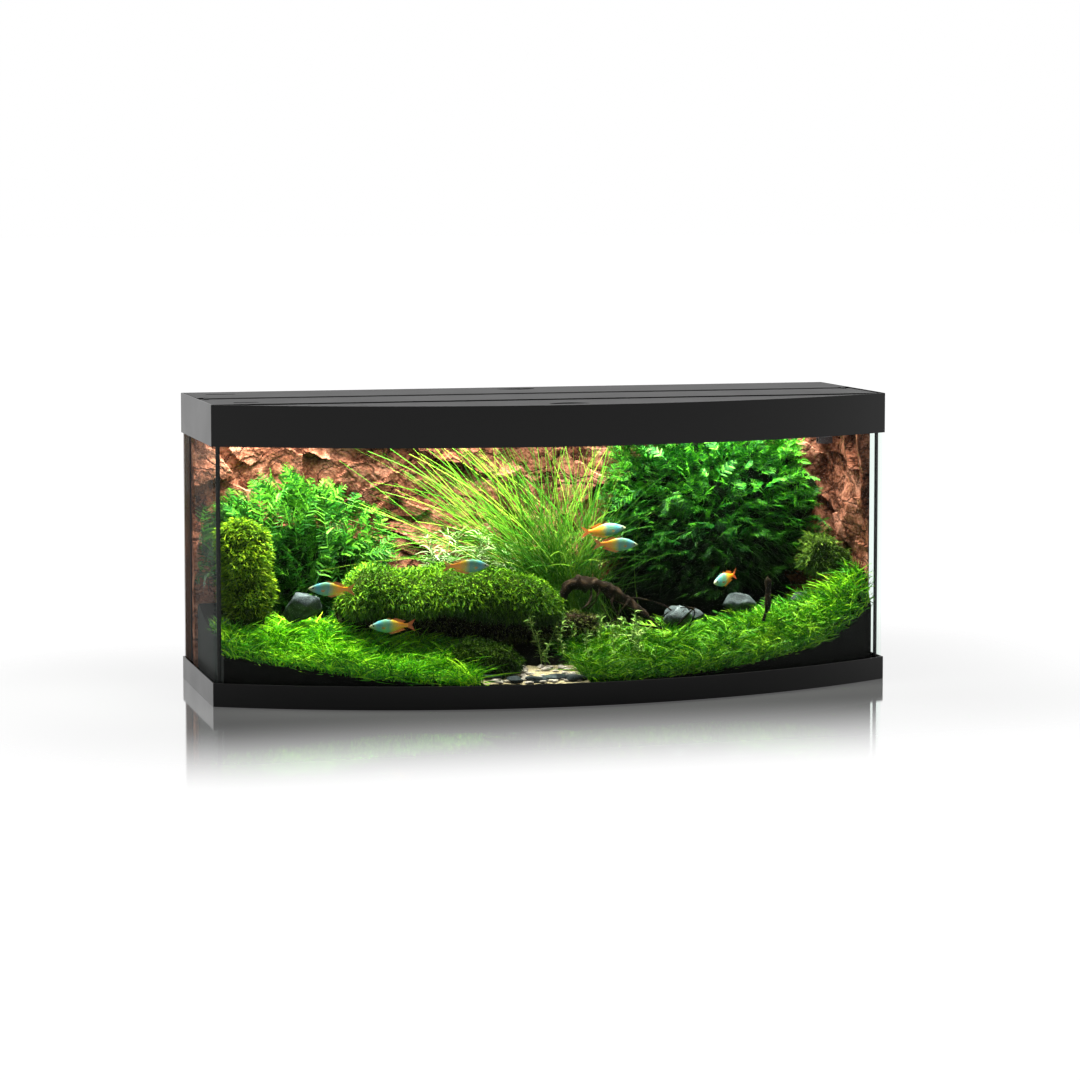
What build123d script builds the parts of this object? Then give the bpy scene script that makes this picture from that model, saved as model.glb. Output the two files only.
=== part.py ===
"""Bow-front planted aquarium: base frame, tank, hood with flaps, light bridge, internal filter and scape.

Row frame in millimetres: X along the width, +Y to the back, +Z up. The origin is the middle of the footprint,
on the surface that the base frame stands on.
"""

import os
from math import sqrt

from build123d import *

# ---------------------------------------------------------------- driving dimensions
WIDTH = 1510.0
DEPTH = 610.0
HEIGHT = 640.0
SIDE_DEPTH = 412.0  # depth of the tank at its two ends
BOW = DEPTH - SIDE_DEPTH  # how far the front bulges past its corners
BASE_H = 50.0
HOOD_H = 88.0

SKIRT = 3.0  # moulded wall of the base frame and of the hood
GLASS_IN = 4.0  # glass lies this far inside the frame's outer face
GLASS = 12.0  # pane thickness
BOTTOM_Z = 10.0  # underside of the bottom pane
GLASS_TOP = 600.0
JOINT = 1.5  # silicone joint between the front pane and a side pane
BEAD = 4.0  # leg of an inner silicone bead
EDGE_CHAMFER = 0.8
BITE = 0.5  # overlap that joins a ledge to its wall
SEAM_W = 5.0  # width of the silicone in a front corner's joint
SEAM_CLEAR = 0.05

FLAP_T = 3.0
FRONT_TOP = HEIGHT - 4.0  # upper faces step up from the front flap to the rear flap
BRIDGE_TOP = HEIGHT - 2.0
REAR_TOP = HEIGHT
KNUCKLE_R = 4.0
PIN_R = 2.0
PIN_CLEAR = 0.06
FLAP_GAP = 2.0  # between a flap and the hood's rim
CHANNEL = 8.0  # from a hinge axis to the bridge's edge

REAR_Y = DEPTH / 2
FRONT_Y = -DEPTH / 2
CORNER_Y = REAR_Y - SIDE_DEPTH
FRONT_HINGE_Y = CORNER_Y + 24.0
REAR_HINGE_Y = CORNER_Y + 212.0
BOW_R = ((WIDTH / 2) ** 2 + BOW**2) / (2 * BOW)
BOW_CENTRE_Y = FRONT_Y + BOW_R

INNER = GLASS_IN + GLASS  # inset of the panes' inner faces
FLOOR_Z = BOTTOM_Z + GLASS
INNER_X = WIDTH / 2 - INNER
INNER_REAR_Y = REAR_Y - INNER
BEHIND = Align.MIN
MID = Align.CENTER

os.makedirs("parts", exist_ok=True)


def save(part, name):
    """Labels a finished piece and writes it as its own STEP file."""
    part.label = name
    export_step(part, f"parts/{name}.step")


def outline(inset):
    """The bow-front plan of the aquarium, drawn in by inset on every side."""
    half = WIDTH / 2 - inset
    rear = REAR_Y - inset
    radius = BOW_R - inset
    corner = BOW_CENTRE_Y - sqrt(radius**2 - half**2)
    with BuildSketch() as plan:
        with BuildLine():
            Polyline((-half, corner), (-half, rear), (half, rear), (half, corner))
            ThreePointArc((half, corner), (0, FRONT_Y + inset), (-half, corner))
        make_face()
    return plan.sketch


def ring(outer, inner):
    """The plan's band between two insets."""
    with BuildSketch() as band:
        add(outline(outer))
        add(outline(inner), mode=Mode.SUBTRACT)
    return band.sketch


# ---------------------------------------------------------------- base frame
LEDGE_W = 45.0
with BuildPart() as base_frame:
    with BuildSketch():
        add(outline(0))
    extrude(amount=BASE_H)
    with BuildSketch(Plane.XY.offset(BOTTOM_Z)):
        add(outline(SKIRT))
    extrude(amount=BASE_H, mode=Mode.SUBTRACT)
    with BuildSketch():
        add(outline(LEDGE_W))
    extrude(amount=BASE_H, mode=Mode.SUBTRACT)
    rim = base_frame.faces().filter_by(Axis.Z).sort_by(Axis.Z)[-1]
    chamfer(rim.outer_wire().edges(), length=EDGE_CHAMFER)
save(base_frame.part, "base_frame")

# ---------------------------------------------------------------- glass
WALL_H = GLASS_TOP - FLOOR_Z
with BuildPart() as bottom_pane:
    with BuildSketch(Plane.XY.offset(BOTTOM_Z)):
        add(outline(GLASS_IN))
    extrude(amount=GLASS)
save(bottom_pane.part, "bottom_pane")

with BuildPart() as front_pane:
    with BuildSketch(Plane.XY.offset(FLOOR_Z)):
        add(outline(GLASS_IN))
        with Locations((0, BOW_CENTRE_Y)):
            Circle(BOW_R - INNER, mode=Mode.SUBTRACT)
    extrude(amount=WALL_H)
save(front_pane.part, "front_pane")

with BuildPart() as rear_pane:
    with Locations((0, INNER_REAR_Y, FLOOR_Z)):
        Box(2 * (INNER_X + GLASS), GLASS, WALL_H, align=(MID, BEHIND, BEHIND))
save(rear_pane.part, "rear_pane")


def side_pane(side):
    """One flat end pane, its front edge cut to the curve of the front pane."""
    middle = side * (INNER_X + GLASS / 2)
    with BuildPart() as pane:
        with BuildSketch(Plane.XY.offset(FLOOR_Z)):
            with Locations((middle, INNER_REAR_Y)):
                Rectangle(GLASS, SIDE_DEPTH, align=(MID, Align.MAX))
            with Locations((0, BOW_CENTRE_Y)):
                Circle(BOW_R - INNER - JOINT, mode=Mode.INTERSECT)
        extrude(amount=WALL_H)
    return pane.part


save(side_pane(-1), "left_pane")
save(side_pane(1), "right_pane")

# Beads: one ring round the floor, a joint and a bead in each front corner, a bead in each rear corner.
INNER_CORNER_Y = BOW_CENTRE_Y - sqrt((BOW_R - INNER - JOINT) ** 2 - INNER_X**2)
with BuildPart() as silicone_seams:
    with BuildSketch(Plane.XY.offset(FLOOR_Z)):
        add(ring(INNER + JOINT, INNER + JOINT + BEAD))
    extrude(amount=BEAD)
    with BuildSketch(Plane.XY.offset(FLOOR_Z + BEAD)):
        for side in (-1, 1):
            with BuildLine():
                Polyline(
                    (side * INNER_X, INNER_CORNER_Y),
                    (side * INNER_X, INNER_CORNER_Y + BEAD),
                    (side * (INNER_X - BEAD), INNER_CORNER_Y),
                    close=True,
                )
            make_face()
            with BuildLine():
                Polyline(
                    (side * INNER_X, INNER_REAR_Y),
                    (side * INNER_X, INNER_REAR_Y - BEAD),
                    (side * (INNER_X - BEAD), INNER_REAR_Y),
                    close=True,
                )
            make_face()
    extrude(amount=WALL_H - BEAD)
    for side in (-1, 1):
        with BuildSketch(Plane.XY.offset(FLOOR_Z + BEAD)):
            with Locations((side * (INNER_X + SEAM_W / 2), CORNER_Y)):
                Rectangle(SEAM_W, 4 * GLASS)
            with Locations((0, BOW_CENTRE_Y)):
                Circle(BOW_R - INNER - SEAM_CLEAR, mode=Mode.INTERSECT)
                Circle(BOW_R - INNER - JOINT + SEAM_CLEAR, mode=Mode.SUBTRACT)
        extrude(amount=WALL_H - BEAD)
save(silicone_seams.part, "silicone_seams")

BRACE_W, BRACE_T = 50.0, 10.0
BRACE_FRONT_Y = FRONT_Y + INNER + 1.0
BRACE_L = INNER_REAR_Y - BRACE_FRONT_Y
BRACE_DROP = 4.0  # below the top of the glass
BRACE_CORNER = 4.0
BRACE_RAIL, BRACE_END = 12.0, 40.0  # solid width beside and at the ends of the slots
BRACE_RIB = (30.0, 12.0)
with BuildPart() as centre_brace:
    with BuildSketch(Plane.XY.offset(GLASS_TOP - BRACE_DROP - BRACE_T)):
        with Locations((0, (BRACE_FRONT_Y + INNER_REAR_Y) / 2)):
            RectangleRounded(BRACE_W, BRACE_L, BRACE_CORNER)
            Rectangle(BRACE_W - 2 * BRACE_RAIL, BRACE_L - 2 * BRACE_END, mode=Mode.SUBTRACT)
            Rectangle(*BRACE_RIB)
    extrude(amount=BRACE_T)
save(centre_brace.part, "centre_brace")

# ---------------------------------------------------------------- hood
HOOD_Z = HEIGHT - HOOD_H
FLAP_REST = 0.3  # gap under a closed flap
LEDGE_TOP = FRONT_TOP - FLAP_T - FLAP_REST
LEDGE_T = 3.0
REST_IN = 20.0  # reach of the lip that rests on the glass
LEDGE_IN = 14.0  # reach of the ledge that the flaps rest on
CABLE_X, CABLE_Z, CABLE_W, CABLE_H = -640.0, 616.0, 44.0, 20.0
GROMMET_WALL, GROMMET_FLANGE = 2.0, 2.5
GROMMET_CORNER = 4.0
CABLE_HOLE = (CABLE_W - 2 * GROMMET_WALL, CABLE_H - 2 * GROMMET_WALL)
with BuildPart() as hood_frame:
    with BuildSketch(Plane.XY.offset(HOOD_Z)):
        add(ring(0, SKIRT))
    extrude(amount=HOOD_H)
    with BuildSketch(Plane.XY.offset(GLASS_TOP)):
        add(ring(SKIRT - BITE, REST_IN))
    extrude(amount=LEDGE_T)
    with BuildSketch(Plane.XY.offset(LEDGE_TOP - LEDGE_T)):
        add(ring(SKIRT - BITE, LEDGE_IN))
    extrude(amount=LEDGE_T)
    top = hood_frame.faces().filter_by(Axis.Z).sort_by(Axis.Z)[-1]
    chamfer(top.outer_wire().edges(), length=EDGE_CHAMFER)
    with Locations((CABLE_X, REAR_Y - SKIRT / 2, CABLE_Z)):
        Box(CABLE_W, 2 * SKIRT, CABLE_H, mode=Mode.SUBTRACT)
save(hood_frame.part, "hood_frame")

with BuildPart() as cable_grommet:
    with BuildSketch(Plane.XZ.offset(-REAR_Y)):
        with Locations((CABLE_X, CABLE_Z)):
            Rectangle(CABLE_W, CABLE_H)
            RectangleRounded(*CABLE_HOLE, GROMMET_CORNER, mode=Mode.SUBTRACT)
    extrude(amount=SKIRT)
    with BuildSketch(Plane.XZ.offset(-REAR_Y + SKIRT)):
        with Locations((CABLE_X, CABLE_Z)):
            Rectangle(CABLE_W + 2 * GROMMET_FLANGE, CABLE_H + 2 * GROMMET_FLANGE)
            RectangleRounded(*CABLE_HOLE, GROMMET_CORNER, mode=Mode.SUBTRACT)
    extrude(amount=GROMMET_WALL)
save(cable_grommet.part, "cable_grommet")

# ---------------------------------------------------------------- light bridge, lifts out of the hood
KNUCKLE_X = 725.0  # half length of a flap's knuckle
EAR_T = 10.0
BRIDGE_X = WIDTH / 2 - SKIRT - FLAP_GAP
BRIDGE_Y = (FRONT_HINGE_Y + CHANNEL, REAR_HINGE_Y - CHANNEL)
BRIDGE_MID_Y = sum(BRIDGE_Y) / 2
BRIDGE_W = BRIDGE_Y[1] - BRIDGE_Y[0]
CHEEK_Z = 612.0  # lower edge of the bridge's side walls
FRONT_AXIS_Z = FRONT_TOP - KNUCKLE_R
REAR_AXIS_Z = REAR_TOP - KNUCKLE_R
HINGES = ((FRONT_HINGE_Y, FRONT_AXIS_Z, 1), (REAR_HINGE_Y, REAR_AXIS_Z, -1))
EAR_X = KNUCKLE_X + 2.0
EAR_W = CHANNEL + 10.0
CHEEK_DROP = 1.0  # from the bridge's upper face down to the top of its side walls
FOOT_W, FOOT_CLEAR = 8.0, 0.2
BRIDGE_FILLET = 0.9
PATCH = (-666.0, CORNER_Y + 80.0, 52.0, 26.0)  # recess near the left end: x, y, length, width
PATCH_CUT = 1.6  # height of the recess cutter, half of it in the plate
with BuildPart() as light_housing:
    with Locations((0, BRIDGE_MID_Y, BRIDGE_TOP - FLAP_T)):
        Box(2 * BRIDGE_X, BRIDGE_W, FLAP_T, align=(MID, MID, BEHIND))
    with Locations((0, BRIDGE_MID_Y, CHEEK_Z)):
        Box(2 * KNUCKLE_X, BRIDGE_W, BRIDGE_TOP - CHEEK_DROP - CHEEK_Z, align=(MID, MID, BEHIND))
        Box(
            2 * (KNUCKLE_X - SKIRT),
            BRIDGE_W - 2 * SKIRT,
            BRIDGE_TOP - FLAP_T - CHEEK_Z,
            align=(MID, MID, BEHIND),
            mode=Mode.SUBTRACT,
        )
    foot = BRIDGE_TOP - FLAP_T - LEDGE_TOP - FOOT_CLEAR
    for side in (-1, 1):
        with Locations((side * (BRIDGE_X - FOOT_W / 2), BRIDGE_MID_Y, LEDGE_TOP + FOOT_CLEAR)):
            Box(FOOT_W, BRIDGE_W, foot, align=(MID, MID, BEHIND))
        for hinge_y, axis_z, inward in HINGES:
            with Locations((side * (EAR_X + EAR_T / 2), hinge_y + inward * CHANNEL / 2, axis_z)):
                Box(EAR_T, EAR_W, 2 * KNUCKLE_R)
    for hinge_y, axis_z, _ in HINGES:
        with Locations(Location((0, hinge_y, axis_z), (0, 90, 0))):
            Cylinder(PIN_R, 2 * (EAR_X + EAR_T + BITE), mode=Mode.SUBTRACT)
    with Locations((PATCH[0], PATCH[1], BRIDGE_TOP)):
        Box(PATCH[2], PATCH[3], PATCH_CUT, mode=Mode.SUBTRACT)
    edges = light_housing.faces().sort_by(Axis.Z)[-1].outer_wire().edges().filter_by(Axis.X)
    fillet(edges, radius=BRIDGE_FILLET)
save(light_housing.part, "light_housing")

PIN_LENGTH = 24.0
PIN_X = EAR_X + EAR_T - PIN_LENGTH / 2


def hinge_pins(hinge_y, axis_z):
    """Two steel pins on one hinge line, each pressed into an ear and running in a knuckle's end."""
    with BuildPart() as pins:
        for side in (-1, 1):
            with Locations(Location((side * PIN_X, hinge_y, axis_z), (0, 90, 0))):
                Cylinder(PIN_R, PIN_LENGTH)
    return pins.part


save(hinge_pins(FRONT_HINGE_Y, FRONT_AXIS_Z), "front_hinge_pins")
save(hinge_pins(REAR_HINGE_Y, REAR_AXIS_Z), "rear_hinge_pins")

TUBE_R = 13.0
TUBE_Z = 618.0
TUBE_X = 690.0
TUBE_OFFSET = 42.0
TUBE_YS = (BRIDGE_MID_Y - TUBE_OFFSET, BRIDGE_MID_Y + TUBE_OFFSET)
FIN_PITCH, FIN_SLOT, FIN_DEPTH = 4.2, 1.4, 9.0  # cooling slots along a tube's upper half
FIN_SLOTS = (-2, -1, 0, 1, 2)
STRIP_W, STRIP_T, STRIP_END = 10.0, 1.2, 10.0
DIFFUSER_T = 1.6
HOLDER_L, HOLDER_W, HOLDER_DROP = 22.0, 32.0, 1.0
HOLDER_Z = TUBE_Z - TUBE_R - HOLDER_DROP


def tube_sketch(y):
    """The plane of a tube's end section."""
    return Plane.YZ.offset(-TUBE_X) * Location((y, TUBE_Z))


with BuildPart() as led_profiles:
    for y in TUBE_YS:
        with BuildSketch(tube_sketch(y)):
            Circle(TUBE_R)
            Rectangle(2 * TUBE_R, TUBE_R, align=(MID, Align.MAX), mode=Mode.SUBTRACT)
            for k in FIN_SLOTS:
                with Locations((k * FIN_PITCH, TUBE_R)):
                    Rectangle(FIN_SLOT, FIN_DEPTH, mode=Mode.SUBTRACT)
        extrude(amount=2 * TUBE_X)
save(led_profiles.part, "led_profiles")

with BuildPart() as led_strips:
    for y in TUBE_YS:
        with Locations((0, y, TUBE_Z)):
            Box(2 * (TUBE_X - STRIP_END), STRIP_W, STRIP_T, align=(MID, MID, Align.MAX))
save(led_strips.part, "led_strips")

with BuildPart() as led_diffusers:
    for y in TUBE_YS:
        with BuildSketch(tube_sketch(y)):
            Circle(TUBE_R)
            Circle(TUBE_R - DIFFUSER_T, mode=Mode.SUBTRACT)
            Rectangle(2 * TUBE_R, TUBE_R, align=(MID, BEHIND), mode=Mode.SUBTRACT)
        extrude(amount=2 * TUBE_X)
save(led_diffusers.part, "led_diffusers")

with BuildPart() as lamp_holders:
    for y in TUBE_YS:
        for side in (-1, 1):
            with Locations((side * (TUBE_X + HOLDER_L / 2), y, HOLDER_Z)):
                Box(HOLDER_L, HOLDER_W, BRIDGE_TOP - FLAP_T - HOLDER_Z, align=(MID, MID, BEHIND))
save(lamp_holders.part, "lamp_holders")

# ---------------------------------------------------------------- flaps
GRIP_W, GRIP_D = 88.0, 34.0
GRIP_SIDE = 6.0  # straight part of a finger pull's end
CUP_H, CUP_T = 12.0, 2.0
FRONT_GRIP_Y = CORNER_Y - 84.0
REAR_GRIP_Y = CORNER_Y + 345.0
LIP, LIP_T = 4.0, 2.5  # depth and thickness of a flap's stiffening lip
PLATE_START, TAB_W = 12.0, 13.0  # from the hinge axis: where the plate begins, and the knuckle's tab
BORE_OUT = 4.0  # a pin bore runs this far past the knuckle's end
HATCH_X = (-550.0, -434.0)
HATCH_Y = (CORNER_Y - 78.0, CORNER_Y - 8.0)
HATCH_GAP = 1.0
HATCH_AXIS_Y = HATCH_Y[1] - 2.0
HATCH_T = 1.8
HATCH_AXIS_Z = FRONT_TOP - HATCH_T
HATCH_SEAT, HATCH_SHELF, HATCH_RELIEF = 2.0, 7.0, 4.4  # depth, ledge width, knuckle slot
HATCH_PIN_REACH = 7.0  # past the hatch at each end
BORE_SPARE = 2.0  # by which the pin's bore is the longer
HATCH_PIN_R = 1.0
SLOT_X, SLOT_L, SLOT_W = -680.0, 68.0, 14.0
SLOT_Y = CORNER_Y + 330.0


def grip_sketch(inset):
    """Half-moon of a finger pull: straight on its low side, arched on its high side."""
    half = GRIP_W / 2 - inset
    low, high = inset, GRIP_D - inset
    with BuildSketch() as moon:
        with BuildLine():
            Line((-half, low), (half, low))
            Line((half, low), (half, low + GRIP_SIDE))
            ThreePointArc((half, low + GRIP_SIDE), (0, high), (-half, low + GRIP_SIDE))
            Line((-half, low + GRIP_SIDE), (-half, low))
        make_face()
    return moon.sketch


def flap_blank(top, hinge_y, toward):
    """A flap's plate, lip and full-length knuckle. toward is -1 for the front flap, 1 for the rear."""
    reach = (REAR_Y - SKIRT - FLAP_GAP - hinge_y) if toward > 0 else (hinge_y - FRONT_Y)
    with BuildPart() as flap:
        for inset, thick in ((SKIRT + FLAP_GAP, FLAP_T), (SKIRT + FLAP_GAP + LEDGE_IN, FLAP_T + LIP)):
            with BuildSketch(Plane.XY.offset(top - thick)):
                add(outline(inset))
                if thick > FLAP_T:
                    add(outline(inset + LIP_T), mode=Mode.SUBTRACT)
                with Locations((0, hinge_y + toward * PLATE_START)):
                    side = Align.MIN if toward > 0 else Align.MAX
                    Rectangle(WIDTH, reach, align=(MID, side), mode=Mode.INTERSECT)
            extrude(amount=thick)
        with Locations((0, hinge_y, top - FLAP_T)):
            side = Align.MIN if toward > 0 else Align.MAX
            Box(2 * KNUCKLE_X, TAB_W, FLAP_T, align=(MID, side, BEHIND))
        with Locations(Location((0, hinge_y, top - KNUCKLE_R), (0, 90, 0))):
            Cylinder(KNUCKLE_R, 2 * KNUCKLE_X)
            for end in (-1, 1):
                with Locations((0, 0, end * (KNUCKLE_X - PIN_LENGTH / 2 + BORE_OUT))):
                    Cylinder(PIN_R + PIN_CLEAR, PIN_LENGTH, mode=Mode.SUBTRACT)
    return flap.part


def grip_cup(y, top, turn):
    """A finger pull: a half-moon tray, open at the top, hung under the flap."""
    with BuildPart() as cup:
        with BuildSketch(Plane.XY.offset(top - CUP_H) * Location((0, y), turn)):
            add(grip_sketch(-CUP_T))
        extrude(amount=CUP_H - BITE)
        with BuildSketch(Plane.XY.offset(top - CUP_H + CUP_T) * Location((0, y), turn)):
            add(grip_sketch(0))
        extrude(amount=CUP_H, mode=Mode.SUBTRACT)
    return cup.part


def grip_hole(y, top, turn):
    """The clear space of a finger pull, cut through the plate before the cup is added."""
    with BuildPart() as hole:
        with BuildSketch(Plane.XY.offset(top - CUP_H + CUP_T) * Location((0, y), turn)):
            add(grip_sketch(0))
        extrude(amount=CUP_H)
    return hole.part


with BuildPart() as front_flap:
    add(flap_blank(FRONT_TOP, FRONT_HINGE_Y, -1))
    add(grip_cup(FRONT_GRIP_Y - GRIP_D / 2, FRONT_TOP, 0))
    add(grip_hole(FRONT_GRIP_Y - GRIP_D / 2, FRONT_TOP, 0), mode=Mode.SUBTRACT)
    hatch_mid = (sum(HATCH_X) / 2, sum(HATCH_Y) / 2)
    hatch_l, hatch_w = HATCH_X[1] - HATCH_X[0], HATCH_Y[1] - HATCH_Y[0]
    with Locations((*hatch_mid, FRONT_TOP)):
        Box(hatch_l, hatch_w, 2 * HATCH_SEAT, mode=Mode.SUBTRACT)
        Box(hatch_l - 2 * HATCH_SHELF, hatch_w - 2 * HATCH_SHELF, 4 * FLAP_T, mode=Mode.SUBTRACT)
    with Locations((hatch_mid[0], HATCH_AXIS_Y, FRONT_TOP)):
        Box(hatch_l, HATCH_RELIEF, 4 * FLAP_T, mode=Mode.SUBTRACT)
    with Locations(Location((hatch_mid[0], HATCH_AXIS_Y, HATCH_AXIS_Z), (0, 90, 0))):
        Cylinder(HATCH_PIN_R, hatch_l + 2 * HATCH_PIN_REACH + BORE_SPARE, mode=Mode.SUBTRACT)
save(front_flap.part, "front_flap")

with BuildPart() as rear_flap:
    add(flap_blank(REAR_TOP, REAR_HINGE_Y, 1))
    add(grip_cup(REAR_GRIP_Y + GRIP_D / 2, REAR_TOP, 180))
    add(grip_hole(REAR_GRIP_Y + GRIP_D / 2, REAR_TOP, 180), mode=Mode.SUBTRACT)
    with BuildSketch(Plane.XY.offset(REAR_TOP - 2 * FLAP_T)):
        with Locations((SLOT_X, SLOT_Y)):
            SlotOverall(SLOT_L, SLOT_W)
    extrude(amount=3 * FLAP_T, mode=Mode.SUBTRACT)
save(rear_flap.part, "rear_flap")

with BuildPart() as feeding_hatch:
    with Locations((hatch_mid[0], HATCH_AXIS_Y, HATCH_AXIS_Z)):
        Box(
            hatch_l - 2 * HATCH_GAP,
            HATCH_AXIS_Y - HATCH_Y[0] - HATCH_GAP,
            HATCH_T,
            align=(MID, Align.MAX, BEHIND),
        )
    with Locations(Location((hatch_mid[0], HATCH_AXIS_Y, HATCH_AXIS_Z), (0, 90, 0))):
        Cylinder(HATCH_T, hatch_l - 2 * HATCH_GAP)
        Cylinder(HATCH_PIN_R + PIN_CLEAR, hatch_l, mode=Mode.SUBTRACT)
    with Locations((hatch_mid[0], HATCH_AXIS_Y - hatch_w / 2, HATCH_AXIS_Z)):
        Box(hatch_l, hatch_w, HOOD_H, align=(MID, MID, Align.MAX), mode=Mode.SUBTRACT)
save(feeding_hatch.part, "feeding_hatch")

with BuildPart() as hatch_pin:
    with Locations(Location((hatch_mid[0], HATCH_AXIS_Y, HATCH_AXIS_Z), (0, 90, 0))):
        Cylinder(HATCH_PIN_R, hatch_l + 2 * HATCH_PIN_REACH)
save(hatch_pin.part, "hatch_pin")

# ---------------------------------------------------------------- internal filter in the rear right corner
FILTER_X = (542.0, 730.0)
FILTER_Y = (158.0, 281.0)
FILTER_Z = (30.5, 540.0)
WALL = 3.0
DIVIDER_X = 669.0  # baskets to its left, pump and heater to its right
COVER_T = 12.0
INTAKE_X, INTAKE_Z, INTAKE_W, INTAKE_H = 604.0, 440.0, 80.0, 110.0
PUMP_X, PUMP_Y, PUMP_Z = 699.5, 240.0, 466.0
NOZZLE_Z = 520.0
SPIGOT_R, SPIGOT_WALL, SPIGOT_CLEAR, SPIGOT_OUT = 8.0, 2.0, 0.5, 26.0
PORT_UP, PORT_W, PORT_H = 40.0, 60.0, 50.0  # opening in the divider wall
GRILLE_PITCH, GRILLE_SLOT, GRILLE_EDGE = 9.0, 4.5, 6.0
NOZZLE_R = 10.5


def limits_box(x, y, z, mode=Mode.ADD):
    """A box given by its (low, high) limits on each axis."""
    with Locations((x[0], y[0], z[0])):
        Box(x[1] - x[0], y[1] - y[0], z[1] - z[0], align=(BEHIND, BEHIND, BEHIND), mode=mode)


with BuildPart() as filter_housing:
    limits_box(FILTER_X, FILTER_Y, FILTER_Z)
    for x in ((FILTER_X[0] + WALL, DIVIDER_X), (DIVIDER_X + WALL, FILTER_X[1] - WALL)):
        limits_box(x, (FILTER_Y[0] + WALL, FILTER_Y[1] - WALL), (FILTER_Z[0] + WALL, HEIGHT), Mode.SUBTRACT)
    with Locations((INTAKE_X, FILTER_Y[0], INTAKE_Z)):
        Box(INTAKE_W, 3 * WALL, INTAKE_H, mode=Mode.SUBTRACT)
    with Locations((DIVIDER_X + WALL / 2, PUMP_Y, FILTER_Z[0] + PORT_UP)):
        Box(3 * WALL, PORT_W, PORT_H, mode=Mode.SUBTRACT)
    with Locations(Location((PUMP_X, FILTER_Y[0], NOZZLE_Z), (90, 0, 0))):
        Cylinder(SPIGOT_R + SPIGOT_CLEAR, 4 * WALL, mode=Mode.SUBTRACT)
save(filter_housing.part, "filter_housing")

with BuildPart() as intake_grille:
    with Locations((INTAKE_X, FILTER_Y[0] + WALL / 2, INTAKE_Z)):
        Box(INTAKE_W, WALL, INTAKE_H)
    for k in range(-5, 6):
        with Locations((INTAKE_X, FILTER_Y[0] + WALL / 2, INTAKE_Z + GRILLE_PITCH * k)):
            Box(INTAKE_W - 2 * GRILLE_EDGE, 2 * WALL, GRILLE_SLOT, mode=Mode.SUBTRACT)
save(intake_grille.part, "intake_grille")

BASKET_GAP, BASKET_T = 2.0, 2.0
BASKET_SLOTS, BASKET_PITCH, BASKET_SLOT, SLOT_END = 7, 14.0, 8.0, 10.0
WINDOW_EDGE = 20.0
MEDIA_GAP, MEDIA_CORNER = 3.0, 4.0
BASKET_X = (FILTER_X[0] + WALL + BASKET_GAP, DIVIDER_X - BASKET_GAP)
BASKET_Y = (FILTER_Y[0] + WALL + BASKET_GAP, FILTER_Y[1] - WALL - BASKET_GAP)
BASKETS = (("filter_basket_lower", 35.0, 232.0), ("filter_basket_upper", 236.0, 438.0))
MEDIA = (("coarse_sponge", 37.2, 128.0), ("fine_sponge", 129.0, 222.0), ("carbon_sponge", 238.2, 334.0),
         ("filter_floss", 335.0, 428.0))


def basket(low, high):
    """A media basket: open on top, slotted floor, and windows in the walls for the water."""
    mid = ((BASKET_X[0] + BASKET_X[1]) / 2, (BASKET_Y[0] + BASKET_Y[1]) / 2)
    size = (BASKET_X[1] - BASKET_X[0], BASKET_Y[1] - BASKET_Y[0])
    with BuildPart() as tray:
        limits_box(BASKET_X, BASKET_Y, (low, high))
        with Locations((*mid, low + BASKET_T)):
            inside = (size[0] - 2 * BASKET_T, size[1] - 2 * BASKET_T, high)
            Box(*inside, align=(MID, MID, BEHIND), mode=Mode.SUBTRACT)
        with Locations((*mid, low)):
            with GridLocations(BASKET_PITCH, 0, BASKET_SLOTS, 1):
                Box(BASKET_SLOT, size[1] - 2 * SLOT_END, 3 * BASKET_T, mode=Mode.SUBTRACT)
        with Locations((*mid, (low + high) / 2)):
            Box(size[0] - 2 * WINDOW_EDGE, 2 * size[1], (high - low) / 2, mode=Mode.SUBTRACT)
    return tray.part


for name, low, high in BASKETS:
    save(basket(low, high), name)
for name, low, high in MEDIA:
    with BuildPart() as media:
        limits_box(
            (BASKET_X[0] + MEDIA_GAP, BASKET_X[1] - MEDIA_GAP),
            (BASKET_Y[0] + MEDIA_GAP, BASKET_Y[1] - MEDIA_GAP),
            (low, high),
        )
        fillet(media.edges().filter_by(Axis.Z), radius=MEDIA_CORNER)
    save(media.part, name)

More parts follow.
